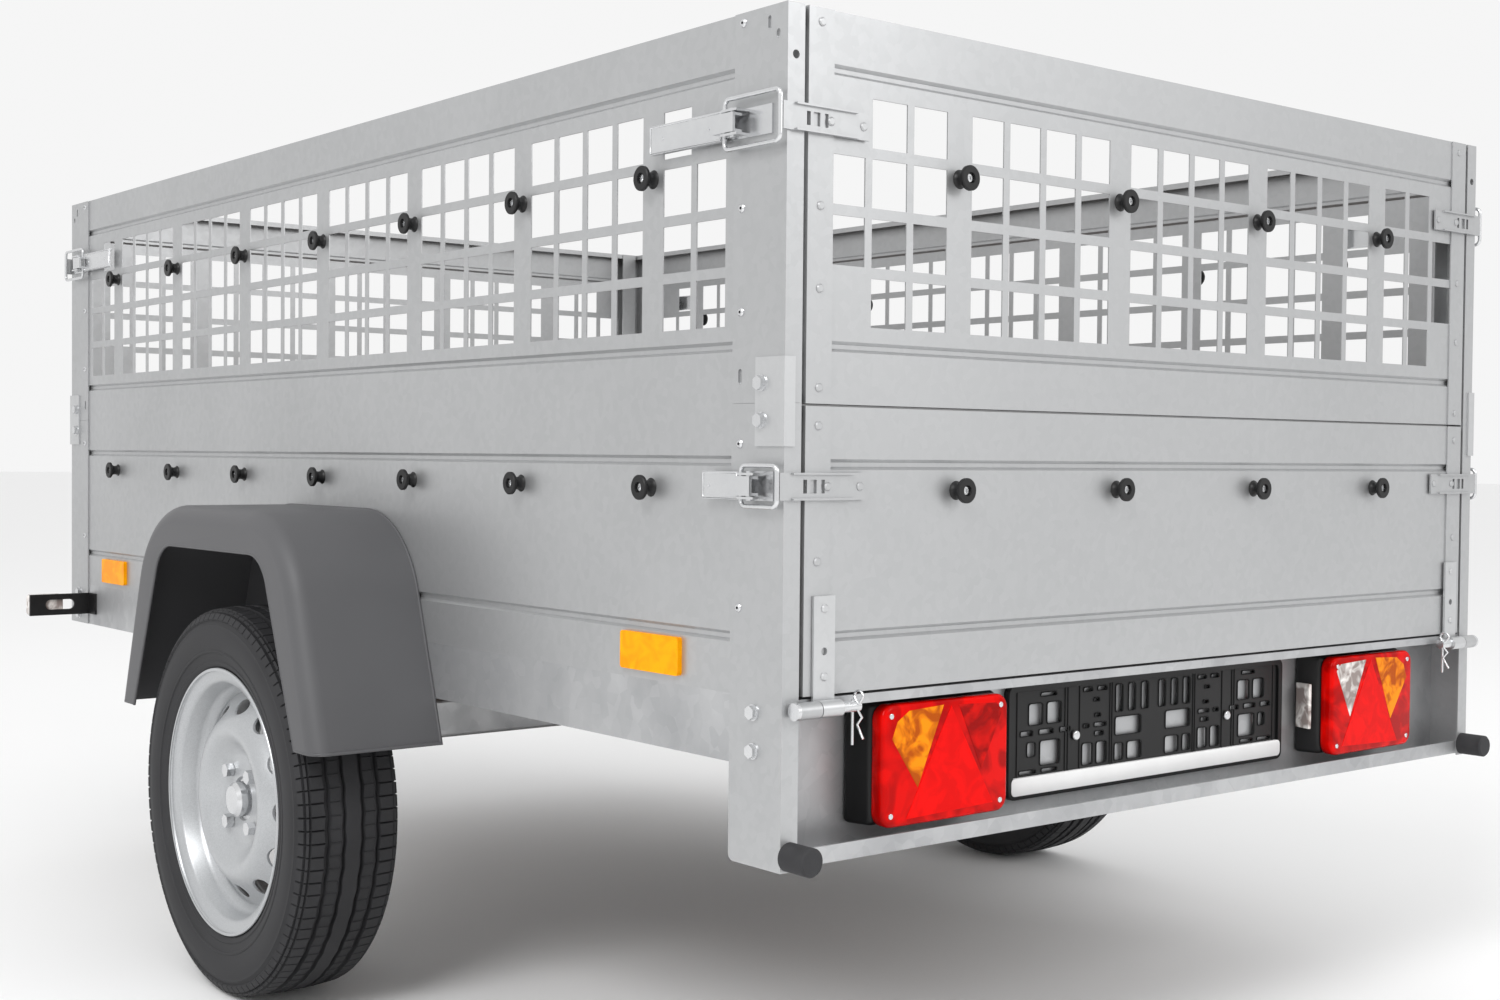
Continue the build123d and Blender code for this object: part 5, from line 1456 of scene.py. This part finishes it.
@dataclass
class PlateHolder:
    """A moulded number plate holder: a rim, a panel full of cut-outs with lips, and a white strip."""

    rim_width: float = 0.008
    corner: float = 0.010
    panel_back: float = 0.0030
    panel_front: float = 0.0055
    lip: float = 0.0010
    lip_rise: float = 0.0012
    strip_height: float = 0.0255
    strip_inset: float = 0.0045
    strip_proud: float = 0.0008
    strip_depth: float = 0.006
    strip_corner: float = 0.006
    strip_bevel: float = 0.0005
    edge_bevel: float = 0.0004
    window_corner: float = 0.003
    slot_corner: float = 0.0015
    slot_height: float = 0.01
    screw_out: float = 0.1475
    screw_down: float = 0.067
    screw_radius: float = 0.0062
    screw_height: float = 0.0045
    screw_round: float = 0.0030
    rib_half: float = 0.0008
    # Each cut-out: from and to in X from the middle, then from and to down from the top edge, in mm
    cut_outs: tuple[tuple[float, float, float, float], ...] = (
        (205, 229, 24, 49), (172, 197, 24, 49), (181, 208, 12, 16), (222, 243, 55.5, 61),
        (186, 210.5, 55.5, 61), (156, 174, 55.5, 61), (217, 231.5, 69.5, 86), (174, 209, 69, 97.5),
        (216, 245, 102, 106), (179, 206, 102, 106), (116, 132, 11.5, 16), (89, 106, 11.5, 16),
        (103, 113, 25, 29), (100.5, 111, 44, 48), (121.5, 132, 55.5, 60), (90, 112, 55.5, 60),
        (95, 111, 66, 71), (115, 134, 79, 105), (89, 108, 79, 105),
        (59, 72.5, 11.5, 45), (35, 48, 11.5, 45), (10, 23.5, 11.5, 45), (24, 73, 52, 74), (58, 74, 84, 105),
        (23, 50, 84, 105),
    )
    ribs: tuple[float, ...] = (249.0, 165.0, 160.0, 139.0, 83.0, 79.0)

    def build(self) -> None:
        """Builds the holder, its strip and its two screws."""
        low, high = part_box("plate_holder")
        rim = start_box("rim", low, high)
        round_upright(rim, self.corner)
        inside = start_box(
            "inside",
            (low.x + self.rim_width, low.y - MM, low.z + self.rim_width),
            (high.x - self.rim_width, high.y + MM, high.z - self.rim_width),
        )
        round_upright(inside, self.corner - self.rim_width / 2)
        cut_out(rim, inside)
        panel = start_box(
            "panel",
            (low.x + self.rim_width, high.y - self.panel_front, low.z + self.rim_width),
            (high.x - self.rim_width, high.y - self.panel_back, high.z - self.rim_width),
        )
        halves = [(spot, way) for spot in self.cut_outs for way in (-1, 1)]
        lips = join([self.cutter(spot, way, high.z, self.lip) for spot, way in halves], "lips")
        lips_low, lips_high = high.y - self.panel_front - self.lip_rise, high.y - self.panel_front
        lips.data.transform(self.squeeze(lips_low, lips_high))
        windows = join([self.cutter(spot, way, high.z, 0.0) for spot, way in halves], "windows")
        windows.data.transform(self.squeeze(low.y - MM, high.y + MM))
        second = copy_at(windows, Matrix.Identity(4), "windows_again")
        cut_out(panel, windows)
        cut_out(lips, second)
        ribs = [
            start_box(
                f"rib_{way}_{out:.0f}",
                (way * out * MM - self.rib_half, lips_low, low.z + self.rim_width),
                (way * out * MM + self.rib_half, lips_high, high.z - self.rim_width),
            )
            for out in self.ribs
            for way in (-1, 1)
        ]
        holder = join([rim, panel, lips, *ribs], "plate_holder_moulding")
        finish_with(holder, "BEVEL", width=self.edge_bevel, segments=1, limit_method="ANGLE")
        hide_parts("plate_holder")
        hand_over(holder, BLACK_PLASTIC, "chassis")
        strip = start_box(
            "plate_strip",
            (low.x + self.strip_inset, low.y - self.strip_proud, low.z + self.strip_inset),
            (high.x - self.strip_inset, low.y + self.strip_depth, low.z + self.strip_height),
        )
        round_upright(strip, self.strip_corner)
        finish_with(strip, "BEVEL", width=self.strip_bevel, segments=2, limit_method="ANGLE")
        hand_over(shade(strip), WHITE_STRIP, "chassis")
        self.add_screws(high)

    def squeeze(self, low: float, high: float) -> Matrix:
        """Matrix that brings Y from 0 to 1 between two values."""
        return Matrix.Translation((0.0, low, 0.0)) @ Matrix.Diagonal((1.0, high - low, 1.0, 1.0))

    def cutter(
        self, spot: tuple[float, float, float, float], way: int, top: float, grow: float
    ) -> bpy.types.Object:
        """Makes the rounded block of one cut-out, one unit deep in Y.

        Args:
            spot: the cut-out's place.
            way: -1 for the left half, 1 for the right.
            top: Z of the holder's top edge.
            grow: how much larger the block is on every side.

        Returns:
            The block.
        """
        near, far, over, under = (value * MM for value in spot)
        block = start_box(
            "block",
            (min(way * near, way * far) - grow, 0.0, top - under - grow),
            (max(way * near, way * far) + grow, 1.0, top - over + grow),
        )
        corner = self.slot_corner if under - over < self.slot_height else self.window_corner
        round_upright(block, corner + grow)
        return block

    def add_screws(self, high: Vector) -> None:
        """Adds the two dome-headed screws that hold the panel.

        Args:
            high: high corner of the holder's box.
        """
        screws = []
        for way in (-1, 1):
            foot = (way * self.screw_out, high.y - self.panel_front, high.z - self.screw_down)
            head = start_rod("head", foot, BACKWARD, self.screw_radius, self.screw_height, 28)
            screws.append(round_edges(head, self.screw_round, 4))
        hand_over(join(screws, "holder_screws"), ZINC, "chassis")


@dataclass
class RivetPits:
    """The dark mandrel stub in the middle of every blind rivet's head, a disc whose dark colour is painted
    shade of the rivet's hole.
    """

    radius: float = 0.0014
    height: float = 0.0005

    def build(self) -> None:
        """Finds each rivet in the frame and puts one stub on its outer end."""
        node = frame["nodes"]["body_rivets"]
        stubs = []
        for rivet in self.rivets(node):
            low = Vector([min(at[axis] for at in rivet) for axis in range(3)])
            high = Vector([max(at[axis] for at in rivet) for axis in range(3)])
            centre, size = (low + high) / 2, high - low
            axis = min(range(3), key=lambda number: size[number])
            away = Vector((0.0, 0.0, 0.0))
            away[axis] = math.copysign(1.0, centre[axis] - self.middle[axis])
            foot = centre + away * (size[axis] / 2 - self.height / 2)
            # Painted shade: the dark disc stands for the mandrel and the shaded hole round it
            stubs.append(start_rod("stub", foot, away, self.radius, self.height, 12))
        hand_over(join(stubs, "rivet_stubs"), MANDREL_AND_HOLE_SHADE, "chassis")

    @property
    def middle(self) -> Vector:
        """Middle of the side panels, which every rivet faces away from."""
        low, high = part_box("lower_side_panels")
        return (low + high) / 2

    def rivets(self, node: bpy.types.Object) -> list[list[Vector]]:
        """Sorts a node's corners into its loose parts.

        Args:
            node: the CAD node of all rivets.

        Returns:
            The world places of the corners of each part.
        """
        group = list(range(len(node.data.vertices)))

        def root(index: int) -> int:
            """Finds the corner that stands for a corner's part.

            Args:
                index: number of the corner.

            Returns:
                Number of the first corner of its part.
            """
            while group[index] != index:
                group[index] = group[group[index]]
                index = group[index]
            return index

        for edge in node.data.edges:
            start, end = (root(index) for index in edge.vertices)
            group[end] = start
        parts: dict[int, list[Vector]] = {}
        for corner in node.data.vertices:
            parts.setdefault(root(corner.index), []).append(node.matrix_world @ corner.co)
        return list(parts.values())


@dataclass
class LatchRims:
    """The folded edge round each latch handle, and the two pressed dimples in its face."""

    wire: float = 0.0011
    inset: float = 0.0016
    dimple: float = 0.0022
    dimple_height: float = 0.0013
    dimple_round: float = 0.0006
    dimple_shares: tuple[float, float] = (0.18, 0.82)
    latches: tuple[str, ...] = ("rear_upper", "front_upper", "rear_lower")

    def build(self) -> None:
        """Builds the trim of all six handles."""
        for latch in self.latches:
            for side in Side:
                self.build_one(f"{latch}_{side.word}", side)

    def build_one(self, latch: str, side: Side) -> None:
        """Builds the trim of one handle on its broad outer face.

        Args:
            latch: name of the latch.
            side: which side of the trailer.
        """
        handle = frame["nodes"][f"latch_handle_{latch}"]
        place = handle.matrix_world
        broad = max(
            (face for face in handle.data.polygons if (place.to_3x3() @ face.normal).x * side.value > SQUARE),
            key=lambda face: face.area,
        )
        corners = [place @ handle.data.vertices[index].co for index in broad.vertices]
        level = corners[0].x
        flat = [
            place @ handle.data.vertices[index].co
            for face in handle.data.polygons
            if (place.to_3x3() @ face.normal).x * side.value > SQUARE
            and abs((place @ face.center).x - level) < MM / 10
            for index in face.vertices
        ]
        low_y, high_y = min(at.y for at in flat), max(at.y for at in flat)
        low_z, high_z = min(at.z for at in flat), max(at.z for at in flat)
        left, right = low_y + self.inset, high_y - self.inset
        under, over = low_z + self.inset, high_z - self.inset
        edge = [(left, under), (right, under), (right, over), (left, over), (left, under)]
        parts = [draw_wire("rim", [(level, y, z) for y, z in edge], self.wire)]
        middle = (low_z + high_z) / 2
        for share in self.dimple_shares:
            foot = (level - side.value * MM / 2, low_y + share * (high_y - low_y), middle)
            dimple = start_rod("dimple", foot, (side.value, 0.0, 0.0), self.dimple, self.dimple_height, 20)
            parts.append(round_edges(dimple, self.dimple_round))
        hand_over(join(parts, f"latch_trim_{latch}"), ZINC, f"{latch}_handle")


# Fittings


@dataclass
class HookScrews:
    """The pan-head screws that hold the tarpaulin hooks, one in the cup of each hook."""

    head_radius: float = 0.0044
    head_height: float = 0.0028
    seat_depth: float = 0.0052
    hook_radius: float = 0.0138
    pitch: float = 0.2683
    middle: float = -0.4565
    recess_inset: float = 0.45
    recess_wall: float = 0.05
    recess_depth: float = 0.5
    side_hooks: int = 7
    end_hooks: int = 4

    def build(self) -> None:
        """Builds the screws of each body from one model."""
        side_low, side_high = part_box("side_tarp_hooks")
        model = self.model()
        last = (self.side_hooks - 1) / 2
        spots = [
            (side.value, Vector((side.value * side_high.x, self.middle + (number - last) * self.pitch, up)))
            for side in Side
            for number in range(self.side_hooks)
            for up in (side_low.z + self.hook_radius, side_high.z - self.hook_radius)
        ]
        places = [self.side_matrix(at, way) for way, at in spots]
        self.place(model, places, "side_hook_screws", "chassis")
        for node, name, body in (
            ("tailgate_hooks", "tailgate_hook_screws", "tailgate"),
            ("rear_mesh_hooks", "rear_mesh_hook_screws", "rear_mesh_gate"),
        ):
            low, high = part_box(node)
            up, seat = (low.z + high.z) / 2, low.y + self.seat_depth
            turn = Matrix.Rotation(math.pi / 2, 4, "X")
            places = [
                Matrix.Translation(((number - (self.end_hooks - 1) / 2) * self.pitch, seat, up)) @ turn
                for number in range(self.end_hooks)
            ]
            self.place(model, places, name, body)
        bpy.data.objects.remove(model, do_unlink=True)

    def model(self) -> bpy.types.Object:
        """Builds one screw head on the origin, pointing up, with a drive recess.

        Returns:
            The model.
        """
        foot, upward = (0.0, 0.0, -MM / 2), (0.0, 0.0, 1.0)
        head = start_rod("screw_model", foot, upward, self.head_radius, self.head_height, 16)
        pick_faces(head, lambda _, facing: facing.z > 0.9)
        bpy.ops.mesh.inset(thickness=self.head_radius * self.recess_inset)
        bpy.ops.mesh.inset(
            thickness=self.head_radius * self.recess_wall, depth=-self.head_height * self.recess_depth
        )
        leave_edit()
        return head

    def side_matrix(self, at: Vector, way: int) -> Matrix:
        """Gives the place of a screw in a side hook, pointing outboard.

        Args:
            at: middle of the hook's face.
            way: -1 on the left side, 1 on the right.

        Returns:
            The screw's matrix.
        """
        seat = at - Vector((way * self.seat_depth, 0.0, 0.0))
        return Matrix.Translation(seat) @ Matrix.Rotation(way * math.pi / 2, 4, "Y")

    def place(self, model: bpy.types.Object, places: list[Matrix], name: str, body: str) -> None:
        """Copies the model to every place, joins the copies and hands them over.

        Args:
            model: the screw.
            places: matrix of each copy.
            name: name of the joined piece.
            body: the body that carries it.
        """
        copies = [copy_at(model, place, f"{name}_{number}") for number, place in enumerate(places)]
        hand_over(shade(join(copies, name)), ZINC, body)


@dataclass
class SpringClips:
    """A bent wire clip through each hinge pin: one straight leg and one wavy leg."""

    wire: float = 0.0014
    loop: float = 0.0065
    pin_inset: float = 0.084
    eye_steps: int = 24
    # How far the eye turns, in half turns
    eye_sweep: float = 1.5
    # Bends of the wavy leg, from the pin down: Y and Z
    leg: Section = (
        (-0.0035, -0.012), (-0.0115, -0.021), (-0.0045, -0.029), (-0.0095, -0.037), (-0.0135, -0.043)
    )

    def build(self) -> None:
        """Adds the wavy leg and the eye to the straight leg of both clips."""
        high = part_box("hinge_pins")[1]
        pin_y = (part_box("hinge_knuckles")[0].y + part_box("hinge_knuckles")[1].y) / 2
        clip_x = high.x - self.pin_inset
        for side in Side:
            path = []
            for step in range(self.eye_steps + 1):
                angle = math.pi * (step / self.eye_steps * self.eye_sweep - 0.5)
                path.append((0.0, -self.loop + self.loop * math.cos(angle), self.loop * math.sin(angle)))
            line = [(0.0, 0.0, 0.0), *path, *[(0.0, y, z) for y, z in self.leg]]
            top = (side.value * clip_x, pin_y, high.z + MM)
            points = [(top[0] + x, top[1] + y, top[2] + z) for x, y, z in line]
            clip = draw_wire(f"spring_clip_{side.word}", points, self.wire)
            hand_over(clip, ZINC, "chassis")


def main() -> None:
    """Dresses the frame, builds every piece in order and sets up the studio."""
    logging.basicConfig(level=logging.INFO, format="%(name)s: %(message)s")
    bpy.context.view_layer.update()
    WARDROBE.dress_frame()
    lights = (RearLamps(), PlateHolder())
    fittings = (HookScrews(), SpringClips(), RivetPits(), LatchRims())
    for assembly in (Wheels(), Mudguards(), *lights, *fittings):
        assembly.build()
        LOG.info("%s built", type(assembly).__name__)
    Studio().build()


if __name__ == "__main__":
    main()
